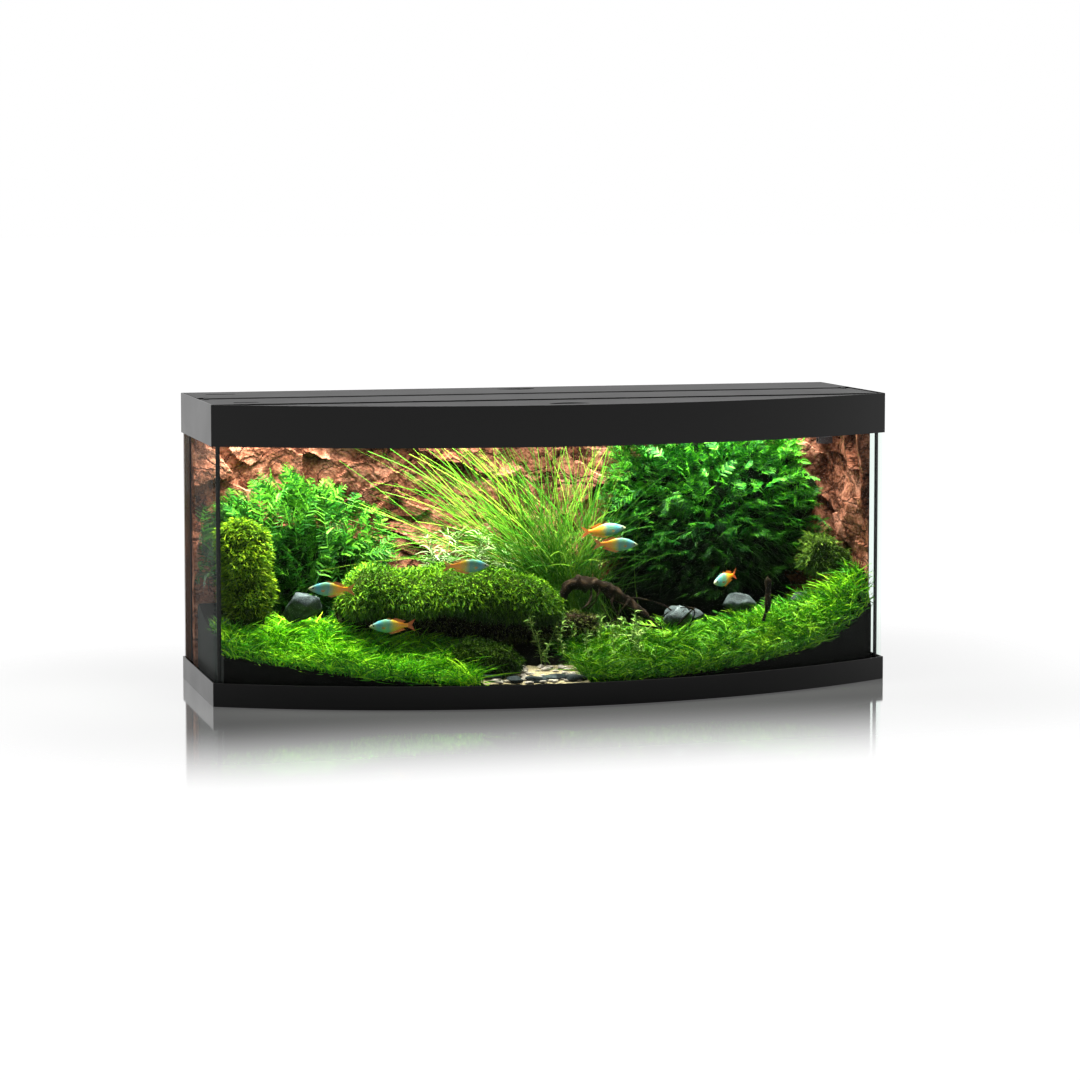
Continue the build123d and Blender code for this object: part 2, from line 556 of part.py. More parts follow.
IMPELLER_R = 12.0
PUMP_SIZE, PUMP_CORNER = (48.0, 70.0, 62.0), 8.0
RISER_WALL, RISER_H = 3.0, 35.0
ROTOR_Z = PUMP_Z - 8.0
CHAMBER_GAP, CHAMBER_L = 1.5, 22.0
SHAFT_R, SHAFT_L = 2.0, 34.0
HUB_R, HUB_L = 6.0, 19.0
BLADES, BLADE_T, BLADE_L = 3, 2.0, 9.0
with BuildPart() as pump_body:
    with Locations((PUMP_X, PUMP_Y, PUMP_Z)):
        Box(*PUMP_SIZE)
    fillet(pump_body.edges().filter_by(Axis.Z), radius=PUMP_CORNER)
    with Locations((PUMP_X, PUMP_Y, PUMP_Z + PUMP_SIZE[2] / 2)):
        Cylinder(SPIGOT_R + RISER_WALL, RISER_H, align=(MID, MID, BEHIND))
    with Locations(Location((PUMP_X, PUMP_Y, NOZZLE_Z), (90, 0, 0))):
        Cylinder(SPIGOT_R, PUMP_Y - FILTER_Y[0] + COVER_T + SPIGOT_OUT, align=(MID, MID, BEHIND))
    with Locations(Location((PUMP_X, PUMP_Y, ROTOR_Z), (90, 0, 0))):
        Cylinder(IMPELLER_R + CHAMBER_GAP, CHAMBER_L, mode=Mode.SUBTRACT)
        Cylinder(SHAFT_R, SHAFT_L, mode=Mode.SUBTRACT)
    with Locations(Location((PUMP_X, PUMP_Y, NOZZLE_Z), (90, 0, 0))):
        Cylinder(SPIGOT_R - SPIGOT_WALL, PUMP_Y - FRONT_Y, align=(MID, MID, BEHIND), mode=Mode.SUBTRACT)
    with Locations((PUMP_X, PUMP_Y, PUMP_Z)):
        Cylinder(SPIGOT_R - SPIGOT_WALL, NOZZLE_Z - PUMP_Z, align=(MID, MID, BEHIND), mode=Mode.SUBTRACT)
save(pump_body.part, "pump_body")

with BuildPart() as impeller_shaft:
    with Locations(Location((PUMP_X, PUMP_Y, ROTOR_Z), (90, 0, 0))):
        Cylinder(SHAFT_R, SHAFT_L)
save(impeller_shaft.part, "impeller_shaft")

with BuildPart() as pump_impeller:
    with Locations(Location((PUMP_X, PUMP_Y, ROTOR_Z), (90, 0, 0))):
        Cylinder(HUB_R, HUB_L)
    with BuildSketch(Plane.XZ.offset(-PUMP_Y) * Location((PUMP_X, ROTOR_Z))):
        for k in range(BLADES):
            Rectangle(2 * IMPELLER_R, BLADE_T, rotation=180 / BLADES * k)
    extrude(amount=BLADE_L)
    with Locations(Location((PUMP_X, PUMP_Y, ROTOR_Z), (90, 0, 0))):
        Cylinder(SHAFT_R + PIN_CLEAR, SHAFT_L, mode=Mode.SUBTRACT)
save(pump_impeller.part, "pump_impeller")

NOZZLE_Y = FILTER_Y[0] - COVER_T - 6.0
NOZZLE_L, NOZZLE_BORE_L, NOZZLE_BORE_START = 26.0, 24.0, 1.0
MOUTH, MOUTH_AT = (34.0, 16.0, 15.0), (-8.0, -32.0)  # flat outlet, and where it sits from the spigot
MOUTH_CUT, MOUTH_CUT_AT = (40.0, 10.0, 9.0), (-10.0, -33.0)
with BuildPart() as outlet_nozzle:
    with Locations(Location((PUMP_X, NOZZLE_Y, NOZZLE_Z), (90, 0, 0))):
        Cylinder(NOZZLE_R, NOZZLE_L, align=(MID, MID, BEHIND))
    with Locations((PUMP_X + MOUTH_AT[0], NOZZLE_Y + MOUTH_AT[1], NOZZLE_Z)):
        Box(*MOUTH)
    with Locations((PUMP_X + MOUTH_CUT_AT[0], NOZZLE_Y + MOUTH_CUT_AT[1], NOZZLE_Z)):
        Box(*MOUTH_CUT, mode=Mode.SUBTRACT)
    with Locations(Location((PUMP_X, NOZZLE_Y + NOZZLE_BORE_START, NOZZLE_Z), (90, 0, 0))):
        Cylinder(SPIGOT_R + PIN_CLEAR, NOZZLE_BORE_L, align=(MID, MID, BEHIND), mode=Mode.SUBTRACT)
save(outlet_nozzle.part, "outlet_nozzle")

HEATER_X, HEATER_Y, HEATER_Z, HEATER_R = 699.5, 180.0, 120.0, 12.5
HEATER_L, HEATER_END_R = 290.0, 10.0
HEAD_R, HEAD_L = 14.0, 34.0
STEM_R, STEM_L = 3.0, 46.0
DIAL_GAP, DIAL_L = 0.3, 16.0
NOTCHES, NOTCH_R = 12, 1.2
with BuildPart() as heater_tube:
    with Locations((HEATER_X, HEATER_Y, HEATER_Z)):
        Cylinder(HEATER_R, HEATER_L, align=(MID, MID, BEHIND))
    fillet(heater_tube.edges().sort_by(Axis.Z)[0], radius=HEATER_END_R)
save(heater_tube.part, "heater_tube")

with BuildPart() as heater_head:
    with Locations((HEATER_X, HEATER_Y, HEATER_Z + HEATER_L)):
        Cylinder(HEAD_R, HEAD_L, align=(MID, MID, BEHIND))
        Cylinder(STEM_R, STEM_L, align=(MID, MID, BEHIND))
save(heater_head.part, "heater_head")

with BuildPart() as heater_dial:
    with Locations((HEATER_X, HEATER_Y, HEATER_Z + HEATER_L + HEAD_L + DIAL_GAP)):
        Cylinder(HEATER_R, DIAL_L, align=(MID, MID, BEHIND))
        with PolarLocations(HEATER_R, NOTCHES):
            Cylinder(NOTCH_R, DIAL_L, align=(MID, MID, BEHIND), mode=Mode.SUBTRACT)
        Cylinder(STEM_R + PIN_CLEAR, STEM_L - HEAD_L, align=(MID, MID, BEHIND), mode=Mode.SUBTRACT)
save(heater_dial.part, "heater_dial")

# ---------------------------------------------------------------- rock reliefs
RELIEF_TOP = 584.0
RELIEF_Z = FLOOR_Z + BEAD + 1.0
RELIEF_BACK_Y = 288.0
BACK_STEPS = (262, 268, 259, 270, 263, 272, 260, 266)
BACK_END, BACK_STOP = 9.0, 16.0  # clear of the left pane, and of the filter's housing
COVER_GAP, COVER_END = 1.0, 3.0
COVER_X, COVER_Y = FILTER_X[0] - COVER_GAP, FILTER_Y[0] - COVER_GAP
COVER_LAP = 4.0  # by which the cover's window is smaller than the intake, on each side
NOZZLE_CLEAR = 2.0
SIDE_RELIEF = ((737, -70), (724, -60), (719, 0), (725, 70), (721, 130), (725, 144), (737, 144))


def relief_line(start, stop, fronts):
    """Zigzag points across a relief, evenly spaced from start to stop."""
    step = (stop - start) / (len(fronts) - 1)
    return [(start + step * i, y) for i, y in enumerate(fronts)]


with BuildPart() as background_relief:
    left, right = -INNER_X + BACK_END, FILTER_X[0] - BACK_STOP
    with BuildSketch(Plane.XY.offset(RELIEF_Z)):
        with BuildLine():
            Polyline(
                *relief_line(left, right, BACK_STEPS),
                (right, RELIEF_BACK_Y),
                (left, RELIEF_BACK_Y),
                close=True,
            )
        make_face()
    extrude(amount=RELIEF_TOP - RELIEF_Z)
save(background_relief.part, "background_relief")

with BuildPart() as filter_cover_relief:
    with BuildSketch(Plane.XY.offset(RELIEF_Z)):
        with BuildLine():
            Polyline(
                (COVER_X, FILTER_Y[1]),
                (COVER_X - COVER_T, FILTER_Y[1]),
                (COVER_X - COVER_T, COVER_Y - COVER_T),
                (INNER_X - COVER_END, COVER_Y - COVER_T),
                (INNER_X - COVER_END, COVER_Y),
                (COVER_X, COVER_Y),
                close=True,
            )
        make_face()
    extrude(amount=RELIEF_TOP - RELIEF_Z)
    with Locations((INTAKE_X, FILTER_Y[0] - COVER_T / 2, INTAKE_Z)):
        Box(INTAKE_W - 2 * COVER_LAP, 3 * COVER_T, INTAKE_H - 2 * COVER_LAP, mode=Mode.SUBTRACT)
    with Locations(Location((PUMP_X, FILTER_Y[0], NOZZLE_Z), (90, 0, 0))):
        Cylinder(NOZZLE_R + NOZZLE_CLEAR, 6 * COVER_T, mode=Mode.SUBTRACT)
save(filter_cover_relief.part, "filter_cover_relief")

with BuildPart() as side_relief:
    with BuildSketch(Plane.XY.offset(RELIEF_Z)):
        with BuildLine():
            Polyline(*SIDE_RELIEF, close=True)
        make_face()
    extrude(amount=RELIEF_TOP - RELIEF_Z)
save(side_relief.part, "side_relief")

# ---------------------------------------------------------------- ground
BED_INSET = INNER + JOINT + BEAD + 3.5
BED_FRONT, BED_BACK = 48.0, 185.0  # height of the planted ground at the front and the back glass
BED_REAR_Y = 250.0
BED_GAP = 0.2  # over the bottom pane
BANK_X = (430.0, 715.0)
BANK_FOOT, BANK_TOP = 92.0, 190.0
BANK_CREST = 20.0  # width of the bank's flat top
BANK_Y = (-90.0, 70.0)
GRASS_H = 25.0
SAND_H = 8.0


def ground(rise):
    """The sloping bed with a bank against the right pane, lifted by rise."""
    with BuildPart() as bed:
        with BuildSketch(Plane.YZ.offset(-INNER_X)):
            with BuildLine():
                Polyline(
                    (FRONT_Y, FLOOR_Z + BED_GAP),
                    (FRONT_Y, BED_FRONT + rise),
                    (BED_REAR_Y, BED_BACK + rise),
                    (BED_REAR_Y, FLOOR_Z + BED_GAP),
                    close=True,
                )
            make_face()
        extrude(amount=2 * INNER_X)
        with BuildSketch(Plane.XZ.offset(-BANK_Y[0])):
            with BuildLine():
                Polyline(
                    (BANK_X[0], BED_FRONT),
                    (BANK_X[0], BANK_FOOT + rise),
                    (BANK_X[1] - BANK_CREST, BANK_TOP + rise),
                    (BANK_X[1], BANK_TOP + rise),
                    (BANK_X[1], BED_FRONT),
                    close=True,
                )
            make_face()
        extrude(amount=BANK_Y[0] - BANK_Y[1])
        with BuildSketch(Plane.XY):
            add(outline(BED_INSET))
        extrude(amount=HEIGHT, mode=Mode.INTERSECT)
    return bed.part


with BuildPart() as soil_bed:
    add(ground(0))
    for solid in (filter_housing, filter_cover_relief, side_relief, background_relief):
        add(solid.part, mode=Mode.SUBTRACT)
    clear_x = COVER_X - COVER_GAP - COVER_T
    clear_y = COVER_Y - COVER_GAP - COVER_T
    limits_box((clear_x, WIDTH), (clear_y, DEPTH), (0, HEIGHT), Mode.SUBTRACT)
save(soil_bed.part, "soil_bed")


def layer(rise, x, y):
    """What lies on the bed between the given limits, rise thick."""
    with BuildPart() as sheet:
        add(ground(rise))
        limits_box(x, y, (0, HEIGHT), Mode.INTERSECT)
        add(soil_bed.part, mode=Mode.SUBTRACT)
        add(side_relief.part, mode=Mode.SUBTRACT)
    return sheet.part


SAND_X = (-200.0, 20.0)
SAND_BACK_Y = -160.0
LAWN_LEFT_BACK_Y, LAWN_RIGHT_BACK_Y = 60.0, 20.0
GRASS_LEFT = layer(GRASS_H, (-WIDTH, SAND_X[0]), (-DEPTH, LAWN_LEFT_BACK_Y))
GRASS_RIGHT = layer(GRASS_H, (SAND_X[1], WIDTH), (-DEPTH, LAWN_RIGHT_BACK_Y))
SAND = layer(SAND_H, SAND_X, (-DEPTH, SAND_BACK_Y))
save(GRASS_LEFT, "carpet_grass_left")
save(GRASS_RIGHT, "carpet_grass_right")
save(SAND, "sand_path")
GROUND = [soil_bed.part, GRASS_LEFT, GRASS_RIGHT, SAND]


def standing(points, y, neighbours):
    """A prism with a front-view outline between two depths, cut back from its neighbours."""
    with BuildPart() as prism:
        with BuildSketch(Plane.XZ.offset(-y[1])):
            with BuildLine():
                Polyline(*points, close=True)
            make_face()
        extrude(amount=y[1] - y[0])
        for neighbour in neighbours:
            add(neighbour, mode=Mode.SUBTRACT)
    return prism.part


# ---------------------------------------------------------------- hardscape
STONES = (
    (-548, -15, 48, 212),
    (302, -15, 46, 164),
    (352, 5, 28, 152),
    (455, 5, 42, 184),
    (602, 15, 32, 182),
    (682, 55, 30, 254),
)
STONE_FOOT, STONE_SIDES, STONE_TAPER = 60.0, 7, 6.0
with BuildPart() as stones:
    for x, y, radius, height in STONES:
        with BuildSketch(Plane.XY.offset(STONE_FOOT) * Location((x, y))):
            RegularPolygon(radius, STONE_SIDES)
        extrude(amount=height - STONE_FOOT, taper=STONE_TAPER)
    for solid in GROUND:
        add(solid, mode=Mode.SUBTRACT)
save(stones.part, "stones")

LOG_START, LOG_END = (-470.0, -10.0, 165.0), (70.0, -40.0, 140.0)
LOG_R = 42.0
with BuildPart() as driftwood_log:
    log_line = Vector(*LOG_END) - Vector(*LOG_START)
    with BuildSketch(Plane(origin=LOG_START, z_dir=log_line)):
        Circle(LOG_R)
    extrude(amount=log_line.length)
    for solid in [*GROUND, stones.part]:
        add(solid, mode=Mode.SUBTRACT)
save(driftwood_log.part, "driftwood_log")

ROOTS = (
    ((490, -60, 70), (500, -62, 205), 6),
    ((120, -10, 190), (235, -50, 118), 7),
    ((250, -20, 225), (330, -60, 120), 6),
    ((200, -25, 205), (150, -75, 100), 5),
)
with BuildPart() as driftwood_roots:
    for start, end, radius in ROOTS:
        root_line = Vector(*end) - Vector(*start)
        with BuildSketch(Plane(origin=start, z_dir=root_line)):
            Circle(radius)
        extrude(amount=root_line.length)
    for solid in [*GROUND, stones.part, driftwood_log.part]:
        add(solid, mode=Mode.SUBTRACT)
save(driftwood_roots.part, "driftwood_roots")
HARD = [*GROUND, stones.part, driftwood_log.part, driftwood_roots.part, background_relief.part]

# ---------------------------------------------------------------- moss and plants
MOSS_LOG = (
    (-468, 205),
    (-464, 250),
    (-376, 277),
    (-290, 258),
    (-216, 262),
    (-102, 260),
    (-20, 226),
    (56, 176),
    (42, 110),
    (-162, 100),
    (-170, 175),
    (-273, 195),
    (-390, 205),
)
MOSS_COLUMN = (
    (-713, 120),
    (-713, 356),
    (-698, 376),
    (-676, 380),
    (-653, 358),
    (-638, 310),
    (-628, 255),
    (-602, 200),
    (-640, 120),
)
MOSS_MOUND = ((-262, 60), (-250, 112), (-216, 130), (-150, 127), (-101, 100), (-98, 60))
FERN_LEFT = (
    (-700, 120),
    (-700, 425),
    (-624, 450),
    (-548, 500),
    (-505, 462),
    (-423, 455),
    (-325, 378),
    (-272, 290),
    (-330, 120),
)
STEMS = ((-320, 180), (-300, 335), (-190, 300), (-80, 330), (-70, 170))
LONG_GRASS = ((40, 130), (-30, 262), (-215, 414), (-215, 570), (160, 570), (150, 395), (130, 130))
FERN_RIGHT = (
    (150, 255),
    (155, 401),
    (170, 572),
    (633, 572),
    (645, 463),
    (690, 396),
    (700, 270),
    (600, 200),
    (546, 165),
    (238, 170),
)
# depths of the same plants, front then back
MOSS_LOG_Y = (-115, 50)
MOSS_COLUMN_Y = (-40, 60)
MOSS_MOUND_Y = (-215, -125)
FERN_LEFT_Y = (95, 245)
STEMS_Y = (60, 94)
LONG_GRASS_Y = (65, 140)
FERN_RIGHT_Y = (45, 145)
moss_log_cover = standing(MOSS_LOG, MOSS_LOG_Y, HARD)
save(moss_log_cover, "moss_log_cover")
moss_column = standing(MOSS_COLUMN, MOSS_COLUMN_Y, HARD)
save(moss_column, "moss_column")
moss_mound = standing(MOSS_MOUND, MOSS_MOUND_Y, HARD)
save(moss_mound, "moss_mound")
save(standing(FERN_LEFT, FERN_LEFT_Y, HARD), "fern_bush_left")
stem_plants = standing(STEMS, STEMS_Y, [*HARD, moss_log_cover])
save(stem_plants, "stem_plants")
long_grass = standing(LONG_GRASS, LONG_GRASS_Y, [*HARD, moss_log_cover, stem_plants])
save(long_grass, "long_grass")
save(standing(FERN_RIGHT, FERN_RIGHT_Y, [*HARD, long_grass]), "fern_bush_right")

# ---------------------------------------------------------------- fish
FISH_LENGTH = 84.0
FISH_R = 16.0
TAIL_L, TAIL_ROOT, TAIL_H, TAIL_T = 18.0, 12.0, 24.0, 2.0
FISH_W = 7.0
TAIL_X = -FISH_LENGTH / 2 - TAIL_L
FISH = (
    ("fish_1", -515, -145, 247, 180),
    ("fish_2", -381, -130, 162, 180),
    ("fish_3", -206, -150, 288, 0),
    ("fish_4", 138, -20, 342, 0),
    ("fish_5", 142, -100, 319, 0),
    ("fish_6", 394, -60, 230, 222),
)
for name, x, y, z, turn in FISH:
    with BuildPart() as fish:
        with BuildSketch(Plane.XZ):
            with BuildLine():
                ThreePointArc((-FISH_LENGTH / 2, 0), (0, FISH_R), (FISH_LENGTH / 2, 0))
                ThreePointArc((FISH_LENGTH / 2, 0), (0, -FISH_R), (-FISH_LENGTH / 2, 0))
            make_face()
            with BuildLine():
                Polyline(
                    (-FISH_LENGTH / 2 + TAIL_ROOT, 0),
                    (TAIL_X, TAIL_H / 2),
                    (TAIL_X, -TAIL_H / 2),
                    close=True,
                )
            make_face()
        extrude(amount=FISH_W, both=True)
        with BuildSketch():
            with BuildLine():
                ThreePointArc((TAIL_X, TAIL_T / 2), (0, FISH_W), (FISH_LENGTH / 2, 0))
                ThreePointArc((FISH_LENGTH / 2, 0), (0, -FISH_W), (TAIL_X, -TAIL_T / 2))
                Line((TAIL_X, -TAIL_T / 2), (TAIL_X, TAIL_T / 2))
            make_face()
        extrude(amount=2 * FISH_R, both=True, mode=Mode.INTERSECT)
    placed = Location((x, y, z), (0, 0, turn)) * fish.part
    save(placed, name)
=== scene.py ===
"""Looks of the bow-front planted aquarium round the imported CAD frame. Metres, +Z up, the bow faces -Y."""

import math
from itertools import product

import bpy
import numpy as np
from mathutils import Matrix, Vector
from mathutils.bvhtree import BVHTree


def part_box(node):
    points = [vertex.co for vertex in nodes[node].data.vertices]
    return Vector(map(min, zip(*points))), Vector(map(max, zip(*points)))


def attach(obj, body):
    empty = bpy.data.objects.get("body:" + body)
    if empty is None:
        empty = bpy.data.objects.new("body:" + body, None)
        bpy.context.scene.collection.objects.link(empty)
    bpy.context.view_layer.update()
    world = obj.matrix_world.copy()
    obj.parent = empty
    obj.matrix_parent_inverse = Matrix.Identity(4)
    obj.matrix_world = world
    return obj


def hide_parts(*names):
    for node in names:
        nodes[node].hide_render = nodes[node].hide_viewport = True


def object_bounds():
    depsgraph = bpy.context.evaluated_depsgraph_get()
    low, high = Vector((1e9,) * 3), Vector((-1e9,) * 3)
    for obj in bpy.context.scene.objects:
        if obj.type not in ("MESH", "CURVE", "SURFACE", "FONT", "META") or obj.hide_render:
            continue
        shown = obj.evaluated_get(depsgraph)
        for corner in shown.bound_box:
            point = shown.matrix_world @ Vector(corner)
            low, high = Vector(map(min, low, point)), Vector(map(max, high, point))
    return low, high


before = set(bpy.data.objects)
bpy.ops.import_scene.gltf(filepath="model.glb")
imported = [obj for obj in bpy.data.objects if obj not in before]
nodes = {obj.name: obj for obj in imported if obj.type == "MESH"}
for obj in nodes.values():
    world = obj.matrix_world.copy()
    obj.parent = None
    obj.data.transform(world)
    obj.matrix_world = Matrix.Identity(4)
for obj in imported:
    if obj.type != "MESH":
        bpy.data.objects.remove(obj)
cad_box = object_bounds()
LOW, HIGH = (np.array(corner, float) for corner in cad_box)
UP = np.array([0.0, 0.0, 1.0])
MM = 0.001

CAMERA_AT = (-1.845, -6.79, 1.1)
CAMERA_YAW, CAMERA_PITCH = math.radians(15.12), math.radians(4.39)
CAMERA_LENS, CAMERA_SENSOR = 107.2, 36.0  # mm
CAMERA_SHIFT = -0.1
LAMP_POWER = 23.0
LAMP_SPREAD = math.radians(95)
LAMP_SIZE = (0.66, 0.36)
LAMP_COLOUR = (1.0, 0.97, 0.9)
STUDIO_FRONT, STUDIO_BACK = 0.12, 1.1  # brightness of what shiny surfaces reflect
STUDIO_TURN = (-0.9, 0.3)  # Y of the directions between which front turns into back
STUDIO_FILL = 0.3  # light that falls on dull surfaces from all round
FLOOR_HALF, FLOOR_GAP = 60.0, 0.2 * MM
FLOOR_LIGHT = 1.18  # strength of the floor's own light
GLOW = 0.85  # share of the floor that is evenly lit
MIRROR = 0.92  # strength of the floor's reflection at the foot of the aquarium
MIRROR_REACH, MIRROR_ROUGHNESS = 0.85, 0.06
GLASS_INDEX, GLASS_ROUGHNESS = 1.3, 0.02


def low_high(node):
    """A CAD node's lowest and highest corners as arrays."""
    low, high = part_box(node)
    return np.array(low), np.array(high)


def link(made):
    bpy.context.scene.collection.objects.link(made)


# ---------------------------------------------------------------- node helpers
def wire(tree, source, target):
    tree.links.new(source, target)


def add_node(tree, kind, *ordered, operation=None, **named):
    """A shader node whose inputs, in order or by name, take constants or other nodes' outputs."""
    made = tree.nodes.new("ShaderNode" + kind)
    if operation:
        made.operation = operation
    chosen = list(zip(made.inputs, ordered))
    chosen += [(made.inputs[key.replace("_", " ")], value) for key, value in named.items()]
    for socket, value in chosen:
        if isinstance(value, bpy.types.NodeSocket):
            wire(tree, value, socket)
        else:
            socket.default_value = value
    return made


def math_node(tree, operation, *values):
    return add_node(tree, "Math", *values, operation=operation).outputs[0]


def blend(tree, first, first_share, second, second_share):
    """Two textures added up in given shares."""
    parts = [math_node(tree, "MULTIPLY", *pair) for pair in ((first, first_share), (second, second_share))]
    return math_node(tree, "ADD", *parts)


def map_range(tree, value, **ends):
    return add_node(tree, "MapRange", Value=value, **ends).outputs[0]


def times(tree, colour, factor):
    """A colour times a factor."""
    return add_node(tree, "VectorMath", colour, operation="SCALE", Scale=factor).outputs[0]


def place_in(tree, space="Object"):
    return add_node(tree, "TexCoord").outputs[space]


def axis_of(tree, place, axis):
    return add_node(tree, "SeparateXYZ", place).outputs[axis]


def noise(tree, scale, detail, distortion=0.0):
    """A noise texture in metres: scale is cycles per metre."""
    place = place_in(tree)
    made = add_node(tree, "TexNoise", Vector=place, Scale=scale, Detail=detail, Distortion=distortion)
    return made.outputs["Fac"]


def colours(tree, value, stops):
    """A colour ramp: stops are (place, (r, g, b))."""
    ramp = add_node(tree, "ValToRGB", value)
    elements = ramp.color_ramp.elements
    while len(elements) < len(stops):
        elements.new(0.5)
    for element, (place, colour) in zip(elements, stops):
        element.position = place
        element.color = (*colour, 1)
    return ramp.outputs[0]


def roughen(tree, shader, value, low, high):
    """Roughness that follows a texture between low and high."""
    wire(tree, map_range(tree, value, To_Min=low, To_Max=high), shader.inputs["Roughness"])


def bump(tree, shader, value, height, strength):
    """Fine relief from a texture, height in metres."""
    made = add_node(tree, "Bump", Strength=strength, Distance=height, Height=value)
    wire(tree, made.outputs[0], shader.inputs["Normal"])


def new_material(name, roughness, **constants):
    """A Principled material and its tree; constants are set on the shader's own sockets."""
    mat = bpy.data.materials.new(name)
    mat.use_nodes = True
    shader = mat.node_tree.nodes["Principled BSDF"]
    shader.inputs["Roughness"].default_value = roughness
    for key, value in constants.items():
        shader.inputs[key.replace("_", " ")].default_value = value
    return mat, mat.node_tree, shader


def bare_material(name):
    """A material with nothing but its output, its tree and the output's socket."""
    mat = bpy.data.materials.new(name)
    mat.use_nodes = True
    tree = mat.node_tree
    tree.nodes.clear()
    return mat, tree, add_node(tree, "OutputMaterial").inputs[0]


# ---------------------------------------------------------------- camera, world, lights and floor
def add_camera():
    data = bpy.data.cameras.new("camera")
    data.lens, data.sensor_width, data.shift_y = CAMERA_LENS, CAMERA_SENSOR, CAMERA_SHIFT
    camera = bpy.data.objects.new("camera", data)
    camera.location = CAMERA_AT
    camera.rotation_euler = (math.pi / 2 - CAMERA_PITCH, 0, -CAMERA_YAW)
    link(camera)
    bpy.context.scene.camera = camera


def add_world():
    """White all round for the camera, and dimmer towards the front for reflections, like a studio."""
    world = bpy.data.worlds.new("studio")
    bpy.context.scene.world = world
    world.use_nodes = True
    tree = world.node_tree
    back = tree.nodes["Background"]
    back.inputs["Color"].default_value = (1, 1, 1, 1)
    depth = axis_of(tree, place_in(tree, "Generated"), "Y")
    studio = map_range(tree, depth, From_Min=STUDIO_TURN[0], From_Max=STUDIO_TURN[1],
                       To_Min=STUDIO_FRONT, To_Max=STUDIO_BACK)
    seen = add_node(tree, "LightPath").outputs
    shine = add_node(tree, "Mix", Factor=seen["Is Glossy Ray"], A=STUDIO_FILL, B=studio)
    pick = add_node(tree, "Mix", Factor=seen["Is Camera Ray"], A=shine.outputs[0], B=1.0)
    wire(tree, pick.outputs[0], back.inputs["Strength"])


def add_lamp(name, at):
    """A soft lamp under the hood, itself unseen."""
    data = bpy.data.lights.new(name, "AREA")
    data.shape = "RECTANGLE"
    data.size, data.size_y = LAMP_SIZE
    data.energy, data.color = LAMP_POWER, LAMP_COLOUR
    data.spread = LAMP_SPREAD
    lamp = bpy.data.objects.new(name, data)
    lamp.location = at
    lamp.visible_camera = False
    lamp.visible_glossy = False
    link(lamp)


def add_floor():
    """A white floor whose polish fades out away from the aquarium."""
    mesh = bpy.data.meshes.new("floor")
    far = FLOOR_HALF
    mesh.from_pydata([(-far, -far, 0), (far, -far, 0), (far, far, 0), (-far, far, 0)], [], [(0, 1, 2, 3)])
    floor = bpy.data.objects.new("floor", mesh)
    floor.location.z = LOW[2] - FLOOR_GAP
    link(floor)
    mat, tree, surface = bare_material("floor")
    place = place_in(tree)
    squares = []
    for axis in range(2):
        centre, half = (LOW[axis] + HIGH[axis]) / 2, (HIGH[axis] - LOW[axis]) / 2
        size = math_node(tree, "ABSOLUTE", math_node(tree, "SUBTRACT", axis_of(tree, place, axis), centre))
        outside = math_node(tree, "MAXIMUM", math_node(tree, "SUBTRACT", size, half), 0.0)
        squares.append(math_node(tree, "MULTIPLY", outside, outside))
    distance = math_node(tree, "SQRT", math_node(tree, "ADD", *squares))
    fade = add_node(tree, "MapRange", Value=distance, From_Max=MIRROR_REACH, To_Min=MIRROR, To_Max=0.0)
    fade.interpolation_type = "SMOOTHSTEP"
    glow = add_node(tree, "Emission", Strength=FLOOR_LIGHT)
    dull = add_node(tree, "BsdfDiffuse", Color=(1, 1, 1, 1))
    base = add_node(tree, "MixShader", 1 - GLOW, glow.outputs[0], dull.outputs[0])
    mirror = add_node(tree, "BsdfGlossy", Roughness=MIRROR_ROUGHNESS)
    mixed = add_node(tree, "MixShader", fade.outputs[0], base.outputs[0], mirror.outputs[0])
    wire(tree, mixed.outputs[0], surface)
    mesh.materials.append(mat)


# ---------------------------------------------------------------- kinds of material
def plastic(name, colour, roughness, level=0.5, grain=900.0):
    """Moulded plastic with a fine satin grain."""
    mat, tree, shader = new_material(name, roughness, Specular_IOR_Level=level)
    bump(tree, shader, noise(tree, grain, 2.0), 0.08 * MM, 0.25)
    cloud = noise(tree, 9.0, 3.0)
    darker = tuple(0.8 * c for c in colour)
    wire(tree, colours(tree, cloud, [(0.3, darker), (0.7, colour)]), shader.inputs["Base Color"])
    roughen(tree, shader, cloud, roughness - 0.04, roughness + 0.05)
    return mat


def foliage(name, dark, middle, light, roughness, patch, shade_below=(0.0, 0.01, 1.0)):
    """Leaf colour that differs from leaf to leaf and in soft patches over the plant.

    Its last argument, (low, high, share), is painted shade that darkens the leaves lower down: below low
    they keep only that share of their brightness.
    """
    mat, tree, shader = new_material(name, roughness, Specular_IOR_Level=0.35)
    own = add_node(tree, "NewGeometry").outputs["Random Per Island"]
    mixed = math_node(tree, "SUBTRACT", blend(tree, own, 0.6, noise(tree, patch, 3.0), 0.6), 0.1)
    bump(tree, shader, noise(tree, 420.0, 2.0), 0.2 * MM, 0.35)
    stops = [(0.12, dark), (0.5, middle), (0.9, light)]
    low, high, share = shade_below
    # painted shade: brightness falls with height, down to share at low and below
    level = map_range(tree, axis_of(tree, place_in(tree), "Z"), From_Min=low, From_Max=high, To_Min=share)
    wire(tree, times(tree, colours(tree, mixed, stops), level), shader.inputs["Base Color"])
    return mat


def rubble(name, stops, scale, roughness, height):
    """Rock, soil, sand, bark or foam: one noise drives colour, roughness and relief."""
    mat, tree, shader = new_material(name, roughness, Specular_IOR_Level=0.3)
    broad = noise(tree, scale, 8.0, distortion=0.6)
    fine = noise(tree, scale * 9, 6.0)
    mixed = blend(tree, broad, 0.65, fine, 0.35)
    wire(tree, colours(tree, mixed, stops), shader.inputs["Base Color"])
    bump(tree, shader, mixed, height, 0.8)
    roughen(tree, shader, fine, roughness - 0.1, roughness + 0.1)
    return mat


